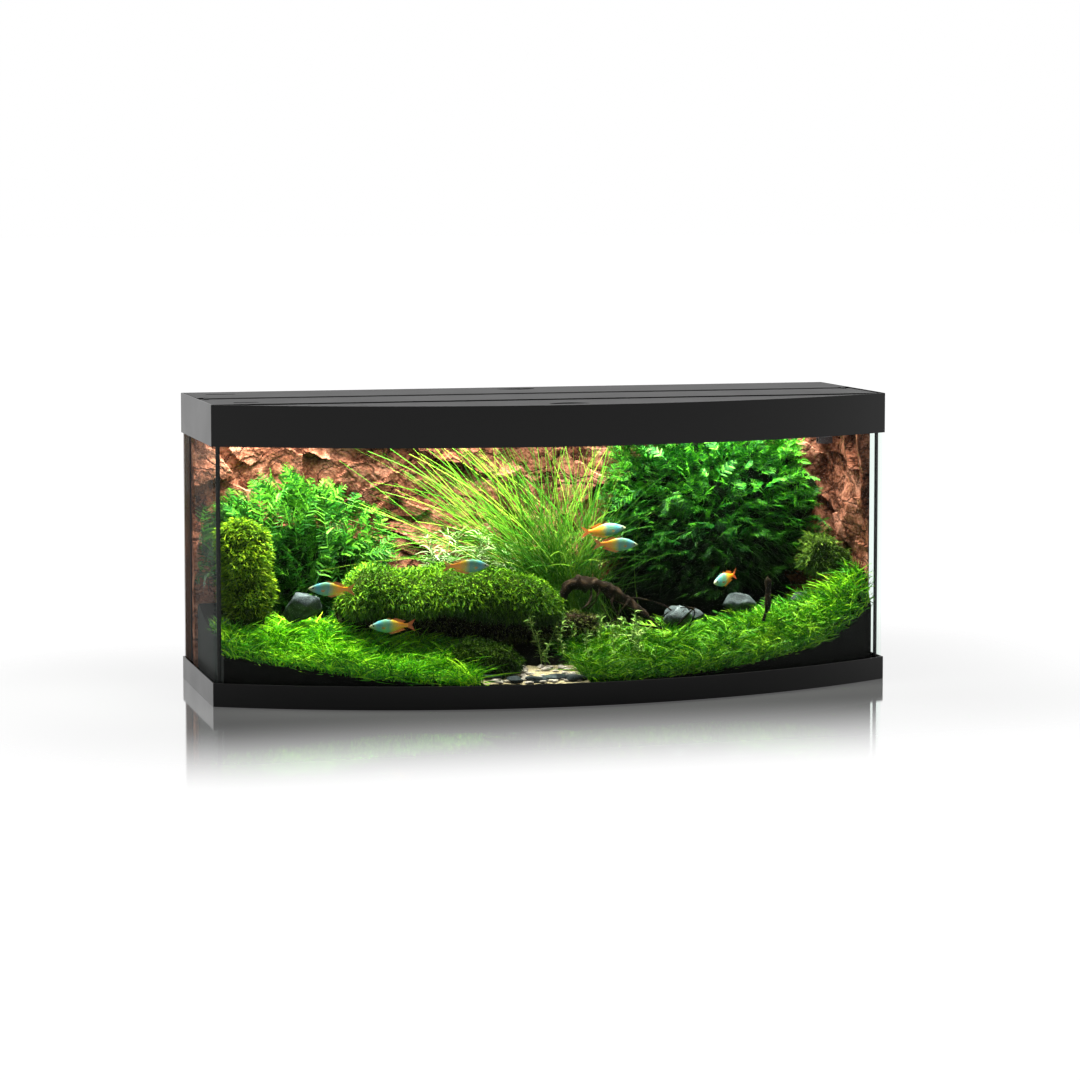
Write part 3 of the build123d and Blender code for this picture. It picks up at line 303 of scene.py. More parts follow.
def clay_rock():
    """Red-brown rock with a grainy broken skin, cracks darkened by painted shade, and painted light that
    makes it paler towards the tank's left end.
    """
    mat, tree, shader = new_material("clay_rock", 0.85, Specular_IOR_Level=0.2)
    grain = noise(tree, 160.0, 8.0)
    mixed = blend(tree, noise(tree, 13.0, 12.0, distortion=1.2), 0.6, grain, 0.4)
    place = place_in(tree)
    drift = add_node(tree, "TexNoise", Vector=place, Scale=9.0, Detail=8.0)
    shift = times(tree, drift.outputs["Color"], 0.3)
    warp = add_node(tree, "VectorMath", place, shift, operation="ADD")
    slant = add_node(tree, "Mapping", Vector=warp.outputs[0], Rotation=(0, math.radians(35), 0),
                     Scale=(0.7, 1, 2.4))
    cracks = add_node(tree, "TexVoronoi")
    cracks.feature = "DISTANCE_TO_EDGE"
    cracks.inputs["Scale"].default_value = 7.0
    wire(tree, slant.outputs[0], cracks.inputs["Vector"])
    # painted shade in the cracks: colour falls to 0.3 at their edges; the same mask also deepens the relief
    gap = map_range(tree, cracks.outputs["Distance"], From_Max=0.09, To_Min=0.3)
    stops = [(0.36, (0.02, 0.007, 0.005)), (0.46, (0.12, 0.041, 0.022)),
             (0.56, (0.24, 0.094, 0.058)), (0.72, (0.46, 0.225, 0.155))]
    # painted light: the rock is made up to 1.9 times brighter towards the left end, which the lamps reach
    # less
    along = axis_of(tree, add_node(tree, "NewGeometry").outputs["Position"], "X")
    paler = map_range(tree, along, From_Min=-0.75, From_Max=-0.45, To_Min=1.9, To_Max=1.0)
    skin = times(tree, colours(tree, mixed, stops), math_node(tree, "MULTIPLY", gap, paler))
    wire(tree, skin, shader.inputs["Base Color"])
    bump(tree, shader, math_node(tree, "ADD", mixed, math_node(tree, "MULTIPLY", gap, 0.6)), 8 * MM, 0.9)
    roughen(tree, shader, grain, 0.75, 0.95)
    return mat


def clear(name, tint, gloss):
    """Glass or water: light goes straight through, with a weak reflection that grows at a glancing angle."""
    mat, tree, surface = bare_material(name)
    paler = tuple(min(1.0, c + 0.01) for c in tint)
    tone = colours(tree, noise(tree, 3.0, 1.0), [(0.3, tint), (0.7, paler)])
    through = add_node(tree, "BsdfTransparent", Color=tone)
    shine = add_node(tree, "BsdfGlossy", Roughness=GLASS_ROUGHNESS)
    side = add_node(tree, "NewGeometry").outputs["Backfacing"]
    index = add_node(tree, "Mix", Factor=side, A=GLASS_INDEX, B=1 / GLASS_INDEX)
    fresnel = add_node(tree, "Fresnel", IOR=index.outputs[0])
    factor = math_node(tree, "MULTIPLY", fresnel.outputs[0], gloss)
    mixed = add_node(tree, "MixShader", factor, through.outputs[0], shine.outputs[0])
    wire(tree, mixed.outputs[0], surface)
    return mat


def metal(name, colour, roughness, scale):
    """Drawn or anodised metal with fine streaks along X."""
    mat, tree, shader = new_material(name, roughness, Metallic=1.0)
    stretch = add_node(tree, "Mapping", Vector=place_in(tree), Scale=(0.02, 1, 1))
    streak = add_node(tree, "TexNoise", Vector=stretch.outputs[0], Scale=scale).outputs["Fac"]
    darker = tuple(0.8 * c for c in colour)
    wire(tree, colours(tree, streak, [(0.3, darker), (0.7, colour)]), shader.inputs["Base Color"])
    roughen(tree, shader, streak, roughness - 0.08, roughness + 0.08)
    return mat


def lamp_diffuser():
    """Frosted lamp cover that glows evenly."""
    mat, tree, shader = new_material("lamp_diffuser", 0.5, Emission_Strength=2.0)
    tone = colours(tree, noise(tree, 30.0, 2.0), [(0.3, (0.86, 0.9, 0.95)), (0.7, (0.95, 0.97, 1.0))])
    for socket in ("Base Color", "Emission Color"):
        wire(tree, tone, shader.inputs[socket])
    return mat


def fish_material(name, stops, roughness, alpha=1.0):
    """Scaled skin or finned web whose colour runs from head to tail."""
    mat, tree, shader = new_material(name, roughness, Specular_IOR_Level=0.6, Alpha=alpha)
    along = add_node(tree, "Attribute")
    along.attribute_name = "along"
    wobble = math_node(tree, "MULTIPLY", noise(tree, 120.0, 3.0), 0.12)
    value = math_node(tree, "SUBTRACT", math_node(tree, "ADD", along.outputs["Fac"], wobble), 0.06)
    wire(tree, colours(tree, value, stops), shader.inputs["Base Color"])
    scales = add_node(tree, "TexVoronoi", Scale=420.0, Vector=place_in(tree))
    bump(tree, shader, scales.outputs["Distance"], 0.3 * MM, 0.5)
    return mat


def dress(material, *names):
    """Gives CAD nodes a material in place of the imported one."""
    for name in names:
        for holder in nodes[name].material_slots:
            holder.material = material


# ---------------------------------------------------------------- mesh helpers
def value_noise(points, cell, seed):
    """Smooth random field from -1 to 1 with features about cell across."""
    table = np.random.default_rng(seed).uniform(-1, 1, (32, 32, 32))
    scaled = points / cell
    whole = np.floor(scaled).astype(int)
    part = scaled - whole
    part = part * part * (3 - 2 * part)
    total = np.zeros(len(points))
    for corner in product((0, 1), repeat=3):
        weight = np.prod(np.where(corner, part, 1 - part), axis=1)
        index = (whole + corner) % 32
        total += weight * table[index[:, 0], index[:, 1], index[:, 2]]
    return total


def fractal(points, cell, seed, octaves=4):
    """Several octaves of smooth noise added up."""
    return sum(value_noise(points, cell / 2**k, seed + k) / 2**k for k in range(octaves))


def unit(vectors):
    return vectors / np.maximum(np.linalg.norm(vectors, axis=-1, keepdims=True), 1e-9)


def join(*soups):
    """Joins (points, faces) pairs of the same face size into one."""
    points, faces, start = [], [], 0
    for some, quads in soups:
        points.append(some)
        faces.append(quads + start)
        start += len(some)
    return np.concatenate(points), np.concatenate(faces)


def in_tank(points):
    """Keeps plants just inside the panes, and out of the filter's corner and the side's rock face."""
    kept = points.copy()
    kept[:, 0] = np.clip(kept[:, 0], bed_low[0] - EDGE, bed_high[0] + EDGE)
    near = front_line(np.clip(kept[:, 0], bed_low[0], bed_high[0])) - EDGE
    kept[:, 1] = np.clip(kept[:, 1], near, bed_high[1] + EDGE)
    corner = low_high("filter_cover_relief")[0] - 4 * MM
    beside = kept[:, 0] > corner[0]
    kept[beside, 1] = np.minimum(kept[beside, 1], corner[1])
    wall = low_high("side_relief")[0]
    past = kept[:, 1] > wall[1]
    kept[past, 0] = np.minimum(kept[past, 0], wall[0])
    return kept


def piece(name, soup, material, body, replaced=(), smooth=True, keep_in=True):
    """One finished mesh piece that rides on a body."""
    points, faces = soup
    if keep_in:
        points = in_tank(points)
    mesh = bpy.data.meshes.new(name)
    mesh.vertices.add(len(points))
    mesh.vertices.foreach_set("co", points.astype(np.float32).ravel())
    sides = faces.shape[1]
    mesh.loops.add(faces.size)
    mesh.loops.foreach_set("vertex_index", faces.astype(np.int32).ravel())
    mesh.polygons.add(len(faces))
    mesh.polygons.foreach_set("loop_start", np.arange(0, faces.size, sides, dtype=np.int32))
    mesh.update(calc_edges=True)
    mesh.validate()
    mesh.polygons.foreach_set("use_smooth", np.full(len(mesh.polygons), smooth))
    mesh.materials.append(material)
    made = bpy.data.objects.new(name, mesh)
    link(made)
    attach(made, body)
    if replaced:
        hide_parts(*replaced)
    return made


def grid_faces(rows, columns, wrap=False):
    """Quads of a rows by columns lattice of points, closed round the columns if wrap."""
    across = columns if wrap else columns - 1
    row, column = np.meshgrid(np.arange(rows - 1), np.arange(across), indexing="ij")
    beside = (column + 1) % columns
    low, high = row * columns, (row + 1) * columns
    return np.stack([low + column, low + beside, high + beside, high + column], -1).reshape(-1, 4)


def slab(front, back, faces):
    """Two lattices of points with the same faces, closed round their edges."""
    sheets = [(front.reshape(-1, 3), faces), (back.reshape(-1, 3), faces[:, ::-1])]
    for edge in (np.s_[0, :], np.s_[-1, :], np.s_[:, 0], np.s_[:, -1]):
        strip = np.stack([back[edge], front[edge]])
        sheets.append((strip.reshape(-1, 3), grid_faces(2, strip.shape[1])))
    return join(*sheets)


def ribbons(base, aim, length, width, bend, steps, facing=None, blunt=0.5):
    """One tapering blade per row, from base towards aim, moved by the vector bend at its tip."""
    t = np.linspace(0, 1, steps + 1)
    reach = aim[:, None] * (length[:, None] * t)[..., None]
    spine = base[:, None] + reach + bend[:, None] * (t**2)[None, :, None]
    tangent = aim[:, None] * length[:, None, None] + 2 * bend[:, None] * t[None, :, None]
    side = unit(np.cross(tangent, (UP if facing is None else facing[:, None]) + 1e-4))
    half = (width[:, None] * 0.5) * np.maximum((1 - t**2), 0.06)[None, :] ** blunt
    half[:, 0] *= 0.7
    points = np.stack([spine - side * half[..., None], spine + side * half[..., None]], 2)
    start = np.arange(len(base))[:, None] * (steps + 1) * 2
    step = np.arange(steps)[None, :] * 2
    corner = (start + step).reshape(-1, 1)
    return points.reshape(-1, 3), corner + np.array([[0, 1, 3, 2]])


def tube(path, radii, sides, seed=0, rough=0.0):
    """A round limb along a path, with knobbly skin, closed at both ends."""
    path = np.asarray(path, float)
    tangent = unit(np.gradient(path, axis=0))
    side = unit(np.cross(tangent, np.array([0.3, 0.2, 1.0])))
    over = np.cross(side, tangent)
    angle = np.linspace(0, 2 * math.pi, sides, endpoint=False)
    round_ = side[:, None] * np.cos(angle)[None, :, None] + over[:, None] * np.sin(angle)[None, :, None]
    points = path[:, None] + round_ * np.asarray(radii, float)[:, None, None]
    flat = points.reshape(-1, 3)
    if rough:
        flat = flat + round_.reshape(-1, 3) * (fractal(flat, 0.03, seed)[:, None] * rough)
    faces = grid_faces(len(path), sides, wrap=True)
    ends = []
    for row in (0, len(path) - 1):
        ring = row * sides + np.arange(sides)
        half = sides // 2
        ends += [(ring[i], ring[i + 1], ring[-i - 2], ring[-i - 1]) for i in range(half - 1)]
    return flat, np.concatenate([faces, np.array(ends)])


def bezier(points, count):
    """Points along a smooth curve through given controls."""
    points = np.asarray(points, float)
    order = len(points) - 1
    t = np.linspace(0, 1, count)[:, None]
    return sum(math.comb(order, k) * (1 - t) ** (order - k) * t**k * points[k] for k in range(order + 1))


def tree_of(name):
    """A ray-casting tree of a CAD node."""
    mesh = nodes[name].data
    points = [vertex.co.copy() for vertex in mesh.vertices]
    return BVHTree.FromPolygons(points, [list(face.vertices) for face in mesh.polygons])


def inside(name, count, rng):
    """Random points inside a closed CAD node."""
    tree = tree_of(name)
    low, high = low_high(name)
    kept = []
    while len(kept) < count:
        for p in rng.uniform(low, high, (count, 3)):
            near, normal, _, _ = tree.find_nearest(Vector(p))
            if (Vector(p) - near).dot(normal) < 0:
                kept.append(p)
    return np.array(kept[:count])


def directions(count, rng, spread, aim=UP):
    """Random unit vectors round an aim; spread 0 is all the same way."""
    return unit(aim + spread * rng.normal(size=(count, 3)))


# ---------------------------------------------------------------- ground
GRID_X, GRID_Y = 230, 90
bed_low, bed_high = low_high("soil_bed")
EDGE = 6 * MM  # how far leaves may pass the edge of the bed, towards the glass
BED_HALF = (bed_high[0] - bed_low[0]) / 2
BLADE_LENGTH, BLADE_WIDTH = (24, 60), (1.6, 3.1)  # mm, shortest and longest of the lawn's blades


def front_line(x):
    """Y of the front edge of the ground, along the bow."""
    half = BED_HALF
    sag = low_high("left_pane")[0][1] - bed_low[1]
    radius = (half**2 + sag**2) / (2 * sag)
    return bed_low[1] + radius - np.sqrt(radius**2 - x**2)


def lattice(left, right, back, columns, rows, gap=0.0):
    """X and Y of a lattice from the bow, less a gap, to the back."""
    x = np.linspace(left, right, columns)
    front = front_line(x) + gap
    y = front + (back - front) * np.linspace(0, 1, rows)[:, None]
    return np.broadcast_to(x, y.shape), y


def soften(field, passes):
    """Blurs a lattice of heights."""
    for _ in range(passes):
        padded = np.pad(field, 1, mode="edge")
        field = (padded[1:-1, :-2] + padded[1:-1, 2:] + padded[:-2, 1:-1] + padded[2:, 1:-1] + 2 * field) / 6
    return field


# Heights of the bed in mm along the front glass and along MIDDLE_LINE, at shares of its half width.
MIDDLE_LINE = -0.05
LAY_AT = (-1.0, -0.82, -0.67, -0.52, -0.34, -0.14, 0.14, 0.36, 0.58, 0.75, 0.85, 0.93, 1.0)
LAY_FRONT = (100, 82, 66, 54, 46, 44, 43, 50, 64, 82, 100, 125, 165)
LAY_MIDDLE = (146, 130, 132, 112, 92, 84, 82, 96, 114, 136, 156, 198, 246)


def cast_ground():
    """Heights of the CAD bed under the lattice, softened and given a natural roll."""
    x, y = lattice(bed_low[0], bed_high[0], bed_high[1], GRID_X, GRID_Y)
    tree = tree_of("soil_bed")
    heights = np.zeros(x.shape)
    fallback = bed_high[2] * 0.7
    for index in np.ndindex(x.shape):
        inward = Vector((x[index] * 0.995, y[index] + 0.002, HIGH[2]))
        hit = tree.ray_cast(inward, Vector((0, 0, -1)))[0]
        heights[index] = hit.z if hit else fallback
    flat = np.stack([x.ravel(), y.ravel(), np.zeros(x.size)], 1)
    roll = fractal(flat, 0.16, 5, 4).reshape(x.shape) * 7 * MM
    behind = np.clip((y - MIDDLE_LINE) / (bed_high[1] - MIDDLE_LINE), 0, 1)
    before = np.clip((MIDDLE_LINE - y) / (MIDDLE_LINE - front_line(x)), 0, 1)
    share = x / BED_HALF
    front, middle = (np.interp(share, LAY_AT, row) * MM for row in (LAY_FRONT, LAY_MIDDLE))
    land = middle * (1 - before) + front * before
    land = land * (1 - behind) + soften(heights, 14) * behind
    return x, y, soften(land, 3) + roll * np.linspace(0.2, 1, GRID_Y)[:, None]


GROUND_X, GROUND_Y, GROUND_Z = cast_ground()


def ground(x, y):
    """Height of the ground at any place, from the lattice."""
    front = front_line(np.clip(x, bed_low[0], bed_high[0]))
    u = (x - bed_low[0]) / (bed_high[0] - bed_low[0]) * (GRID_X - 1)
    v = (y - front) / (bed_high[1] - front) * (GRID_Y - 1)
    u, v = np.clip(u, 0, GRID_X - 1.001), np.clip(v, 0, GRID_Y - 1.001)
    i, j = u.astype(int), v.astype(int)
    a, b = u - i, v - j
    top = GROUND_Z[j, i] * (1 - a) + GROUND_Z[j, i + 1] * a
    bottom = GROUND_Z[j + 1, i] * (1 - a) + GROUND_Z[j + 1, i + 1] * a
    return top * (1 - b) + bottom * b


def ground_at(x, y):
    return ground(np.array([x]), np.array([y]))[0]


def make_soil(material):
    """The bed: its rolling top with a skirt down to the bottom pane all round."""
    rim_low = bed_low[2]
    top = np.stack([GROUND_X, GROUND_Y, GROUND_Z], -1)
    corner = low_high("filter_cover_relief")[0]
    top[(GROUND_X > corner[0]) & (GROUND_Y > corner[1]), 2] = rim_low + 2 * MM
    floor = top.copy()
    floor[..., 2] = rim_low
    soup = slab(top, floor, grid_faces(GRID_Y, GRID_X))
    piece("ground_soil", soup, material, "tank", ["soil_bed"], keep_in=False)


def scatter(name, count, rng, margin):
    """Random (x, y) over the plan of a CAD node, inside the bow."""
    low, high = low_high(name)
    spots = rng.uniform(low[:2] + margin, high[:2] - margin, (count * 2, 2))
    spots = spots[spots[:, 1] > front_line(spots[:, 0]) + margin]
    return spots[:count]


def make_carpet(name, slot_name, material, count, seed):
    """A lawn of short curved blades on the ground, taller in clumps."""
    rng = np.random.default_rng(seed)
    spots = scatter(name, count, rng, 2 * MM)
    height = ground(spots[:, 0], spots[:, 1])
    base = np.column_stack([spots, height - 2 * MM])
    clumps = 0.5 + 0.5 * fractal(base * np.array([1, 1, 0]), 0.05, seed, 3)
    total = len(base)
    tall = rng.uniform(*BLADE_LENGTH, total) * MM * (0.65 + 0.6 * clumps)
    aim = directions(total, rng, 0.5, np.array([0.0, -0.15, 1.0]))
    bend = rng.normal(size=(total, 3)) * np.array([0.5, 0.5, 0.05]) * tall[:, None]
    bend[:, 2] -= 0.25 * tall
    facing = directions(total, rng, 0.6, np.array([0.2, -1.0, 0.3]))
    points, faces = ribbons(base, aim, tall, rng.uniform(*BLADE_WIDTH, total) * MM, bend, 5, facing)
    points[:, 2] = np.maximum(points[:, 2], ground(points[:, 0], points[:, 1]) - 3 * MM)
    return piece(f"lawn_{slot_name}", (points, faces), material, "tank", [name])


# ---------------------------------------------------------------- stone, sand and wood
RELIEF_ROWS = 180
RELIEF_RANGE = (-9 * MM, 20 * MM)  # how far a rock face may stand behind and before its CAD face
SLAB_STEP, SLAB_TILT = 8 * MM, 0.22
SHOOTS_AT = (0.285, -0.05)  # where the root shoots leave the ground


def boulder(centre, size, seed, cuts=16, rings=18):
    """A split stone: a ball cut by random planes, with a finely broken skin."""
    rng = np.random.default_rng(seed)
    normals = directions(cuts, rng, 5.0)
    depth = rng.uniform(0.62, 1.0, cuts)
    phi = np.linspace(0.02, math.pi - 0.02, rings)
    theta = np.linspace(0, 2 * math.pi, 2 * rings, endpoint=False)
    around, down = np.meshgrid(theta, phi)
    ray = np.stack([np.sin(down) * np.cos(around), np.sin(down) * np.sin(around), np.cos(down)], -1)
    ray = ray.reshape(-1, 3)
    facing = ray @ normals.T
    limit = np.where(facing > 0.05, depth / np.maximum(facing, 0.05), 9.0).min(1)
    limit = np.minimum(limit, 1.15) * (1 + 0.05 * fractal(ray, 0.5, seed, 3))
    points = centre + ray * limit[:, None] * size
    return points, grid_faces(rings, 2 * rings, wrap=True)


def islands(mesh):
    """The points of each separate solid of a mesh, from left to right."""
    raw = np.array([v.co for v in mesh.vertices])
    points, weld = np.unique(raw.round(5), axis=0, return_inverse=True)
    ends = weld.ravel()[np.array([edge.vertices for edge in mesh.edges])]
    label = np.arange(len(points))
    while True:
        lowest = label[ends].min(1)
        spread = label.copy()
        np.minimum.at(spread, ends[:, 0], lowest)
        np.minimum.at(spread, ends[:, 1], lowest)
        if (spread == label).all():
            break
        label = spread
    groups = (points[label == mark] for mark in np.unique(label))
    return sorted(groups, key=lambda group: group[:, 0].min())


def make_stones(material):
    """Each CAD stone becomes a split boulder of its size, with a few smaller ones at its foot."""
    rng = np.random.default_rng(31)
    soups = []
    for index, group in enumerate(islands(nodes["stones"].data)):
        centre, half = (group.min(0) + group.max(0)) / 2, (group.max(0) - group.min(0)) / 2
        top = group[:, 2].max()
        size = np.array([half[0] * 1.2, max(half[1], 0.7 * half[0]), 0.85 * half[0]])
        centre[2] = top - size[2] * 0.6
        soups.append(boulder(centre, size, 40 + index))
        for k in range(3):
            shift = rng.uniform(-1, 1, 3) * np.array([1.3 * size[0], 0.8 * size[1], 0])
            spot = centre + shift
            spot[2] = ground_at(*spot[:2]) + 8 * MM
            soups.append(boulder(spot, size * rng.uniform(0.25, 0.45), 60 + 5 * index + k, 12, 9))
    piece("split_stones", join(*soups), material, "tank", ["stones"])


def make_sand(sand, pebble, flat_stone):
    """Pale sand between the lawns, with pebbles and grit on it."""
    low, high = low_high("sand_path")
    x, y = lattice(low[0] - 6 * MM, high[0] + 6 * MM, high[1], 90, 50, 0.6 * MM)
    z = ground(x.ravel(), y.ravel()) + 3 * MM
    points = np.column_stack([x.ravel(), y.ravel(), z])
    points[:, 2] += 1.5 * MM * fractal(points, 0.02, 8)
    piece("sand_floor", (points, grid_faces(*y.shape)), sand, "tank", ["sand_path"])
    rng = np.random.default_rng(12)
    soups = []
    for index, spot in enumerate(scatter("sand_path", 90, rng, 6 * MM)):
        size = rng.uniform(2.5, 9.0) * MM * np.array([1.3, 1.0, 0.6])
        height = ground_at(*spot) + 4 * MM
        soups.append(boulder(np.array([*spot, height]), size, 200 + index, 9, 6))
    piece("pebbles", join(*soups), pebble, "tank")
    slabs = []
    for index, share in enumerate((0.12, 0.3, 0.52, 0.7, 0.9)):
        x = low[0] + share * (high[0] - low[0])
        y = front_line(x) + rng.uniform(20, 45) * MM
        height = ground_at(x, y) + 5 * MM
        size = np.array([rng.uniform(18, 34), rng.uniform(14, 24), rng.uniform(6, 10)]) * MM
        slabs.append(boulder(np.array([x, y, height]), size, 240 + index, 14, 12))
    piece("flat_stones", join(*slabs), flat_stone, "tank")


def relief_slabs(across, up, seed, count):
    """Heights of a broken clay face: tilted slabs split by sharp edges, with finer flaking."""
    rng = np.random.default_rng(seed)
    span = np.array([across.max() - across.min(), up.max() - up.min()])
    start = np.array([across.min(), up.min()])
    seeds = start + rng.uniform(0, 1, (count, 2)) * span
    flat = np.stack([across.ravel(), up.ravel(), np.zeros(across.size)], 1)
    bend = np.stack([fractal(flat, 0.12, seed + 1), fractal(flat, 0.12, seed + 7)], 1) * 0.03
    place = flat[:, :2] + bend
    away = (place[:, None] - seeds[None]) * np.array([1.0, 1.5])
    near = np.argmin((away**2).sum(-1), 1)
    slope = rng.normal(size=(count, 2)) * SLAB_TILT
    height = rng.uniform(-1, 1, count)[near] * SLAB_STEP * 1.3
    height = height + ((place - seeds[near]) * slope[near]).sum(1)
    return height + 0.35 * SLAB_STEP * fractal(flat, 0.035, seed + 3, 5)


def make_relief(name, node, origin, across, material, seed, wide, openings=()):
    """A rock panel: a displaced face over a CAD relief, left open round the nodes in openings.

    origin is its lower end and across runs along it.
    """
    low, high = low_high(node)
    span = np.linalg.norm(across)
    way = np.array(across) / span
    out = np.array([way[1], -way[0], 0.0])
    u, w = np.meshgrid(np.linspace(0, span, wide), np.linspace(0, high[2] - low[2], RELIEF_ROWS))
    push = relief_slabs(u, w, seed, max(8, int(span * 55)))
    push = np.clip(push, *RELIEF_RANGE).reshape(u.shape)
    points = origin + u[..., None] * way + w[..., None] * UP + push[..., None] * out
    depth = abs((high - low) @ out) - 7 * MM
    back = origin + u[..., None] * way + w[..., None] * UP - depth * out
    faces = grid_faces(RELIEF_ROWS, wide)
    middle = points.reshape(-1, 3)[faces].mean(1)
    for opening in openings:
        hole_low, hole_high = low_high(opening)
        hit = (middle[:, [0, 2]] > hole_low[[0, 2]]) & (middle[:, [0, 2]] < hole_high[[0, 2]])
        faces, middle = faces[~hit.all(1)], middle[~hit.all(1)]
    piece(name, slab(points, back, faces), material, "tank", [node], smooth=False, keep_in=False)


def make_wood(bark, moss_brown):
    """The fallen log with its brown moss, the gnarled root behind it, root shoots and the upright twig."""
    low, high = low_high("driftwood_log")
    middle_y = (low[1] + high[1]) / 2
    girth = 40 * MM
    ends = [
        (low[0] + 0.01, middle_y + 0.015, high[2] - girth),
        (low[0] * 0.6, middle_y + 0.03, high[2] - girth + 0.02),
        (low[0] * 0.2, middle_y - 0.03, high[2] - girth - 0.03),
        (high[0] + 0.03, middle_y - 0.02, high[2] - girth - 0.03),
    ]
    path = bezier(ends, 80)
    radii = np.interp(np.linspace(0, 1, 80), [0, 0.06, 0.5, 0.8, 1], [0.5, 0.95, 1.0, 0.8, 0.5]) * girth
    skin = tube(path, radii, 30, 3, 9 * MM)
    piece("log", skin, bark, "tank", ["driftwood_log"])
    out = unit(skin[0] - np.repeat(path, 30, 0))
    piece("log_moss", sprigs(skin[0], out, 9000, 24, (5, 11)), moss_brown, "tank")
    rng = np.random.default_rng(9)
    low, high = low_high("driftwood_roots")
    foot, top = low[2], high[2]
    right = high[0]
    twig = bezier([(right - 0.042, -0.13, foot + 0.01), (right - 0.024, -0.13, foot + 0.07),
                   (right - 0.03, -0.12, top + 0.01)], 30)
    thick = np.interp(np.linspace(0, 1, 30), [0, 0.6, 0.9, 1], [5, 6, 7.5, 2]) * MM
    soups = [tube(twig, thick, 10, 5, 4 * MM)]
    gnarled = bezier([(0.02, -0.01, top - 0.05), (0.09, 0.01, top + 0.05),
                      (0.15, -0.02, top - 0.03), (0.24, -0.03, top - 0.09)], 50)
    thick = np.interp(np.linspace(0, 1, 50), [0, 0.3, 1], [9, 20, 8]) * MM
    soups.append(tube(gnarled, thick, 10, 6, 11 * MM))
    for k in range(16):
        if k < 7:
            start = gnarled[rng.integers(5, 44)]
            end = start + rng.uniform(-1, 1, 3) * np.array([0.09, 0.03, 0.02])
            end = end + np.array([0.03, -0.03, -0.05])
        else:
            start = np.array([SHOOTS_AT[0] + rng.normal() * 0.01, SHOOTS_AT[1], ground_at(*SHOOTS_AT)])
            reach = ((-0.09, 0.09), (-0.02, 0.03), (0.02, 0.09))
            end = start + np.array([rng.uniform(*pair) for pair in reach])
        mid = (start + end) / 2 + rng.normal(size=3) * np.array([0.03, 0.01, 0.02])
        path = bezier([start, mid, end], 22)
        soups.append(tube(path, np.linspace(rng.uniform(2, 4), 0.9, 22) * MM, 10, 70 + k, 1.5 * MM))
    piece("roots_and_twig", join(*soups), bark, "tank", ["driftwood_roots"])


# ---------------------------------------------------------------- moss
LEAN_BACK = 0.55  # how far a mossy bank slopes away from the front, per height
CUSHION_SIDES = 64
CUSHION_ROUGH = 22 * MM
CUSHION_ROUND = 0.05  # length over which a bank's ends are rounded off
SHOOT_WIDTH, SHOOT_DROOP = (1.6, 3.0), 0.35


def cushion(stations, seed):
    """A mossy mass along X: stations are rows of (x, top z, bottom z, front y, back y)."""
    table = np.asarray(stations, float)
    x = np.linspace(table[0, 0], table[-1, 0], 90)
    top, bottom, front, back = (np.interp(x, table[:, 0], table[:, k]) for k in range(1, 5))
    left, right = (np.clip(away / CUSHION_ROUND, 0, 1) for away in (x - x[0], x[-1] - x))
    ease = np.sqrt(np.maximum(np.sin(left * math.pi / 2) * np.sin(right * math.pi / 2), 0.002))
    angle = np.linspace(0, 2 * math.pi, CUSHION_SIDES, endpoint=False)
    cos, sin = np.cos(angle), np.sin(angle)
    square = (np.abs(cos) ** 3 + np.abs(sin) ** 3) ** (-1 / 3)
    half_y, half_z = (back - front) / 2 * ease, (top - bottom) / 2 * ease
    y = ((front + back) / 2)[:, None] + half_y[:, None] * (cos * square)[None]
    z = ((top + bottom) / 2)[:, None] + half_z[:, None] * (sin * square)[None]
    points = np.stack([np.broadcast_to(x[:, None], y.shape), y, z], -1)
    out = np.stack([np.zeros_like(y), np.broadcast_to(cos, y.shape), np.broadcast_to(sin, y.shape)], -1)
    flat = points.reshape(-1, 3)
    lumps = fractal(flat, 0.13, seed, 5)[:, None] * CUSHION_ROUGH
    flat = flat + out.reshape(-1, 3) * lumps
    flat[:, 1] += LEAN_BACK * (flat[:, 2] - flat[:, 2].mean())
    return (flat, grid_faces(len(x), CUSHION_SIDES, wrap=True)), out.reshape(-1, 3)


def sprigs(points, normals, count, seed, length=(7, 15)):
    """Short leafy shoots that stand out of a mossy surface and nod downwards."""
    rng = np.random.default_rng(seed)
    pick = rng.integers(0, len(points), count)
    base = points[pick] + rng.normal(size=(count, 3)) * 2.2 * MM
    aim = unit(normals[pick] + rng.normal(size=(count, 3)) * 0.55 + UP * 0.15)
    tall = rng.uniform(*length, count) * MM
    bend = np.column_stack([rng.normal(size=(count, 2)) * 0.2, np.full(count, -SHOOT_DROOP)]) * tall[:, None]
    facing = directions(count, rng, 1.2, np.array([0.1, -1.0, 0.5]))
    return ribbons(base, aim, tall, rng.uniform(*SHOOT_WIDTH, count) * MM, bend, 2, facing)


def outline_of(name):
    """Stations along X of a CAD node for cushion, with its own top and a bottom sunk a little deeper."""
    low, high = low_high(name)
    tree = tree_of(name)
    middle = (low[1] + high[1]) / 2
    table = []
    for x in np.linspace(low[0] + 2 * MM, high[0] - 2 * MM, 16):
        top = tree.ray_cast(Vector((x, middle, high[2] + 1)), Vector((0, 0, -1)))[0]
        bottom = tree.ray_cast(Vector((x, middle, low[2] - 1)), Vector((0, 0, 1)))[0]
        if top and bottom:
            table.append((x, top.z, bottom.z - 0.02, low[1], high[1]))
    return table


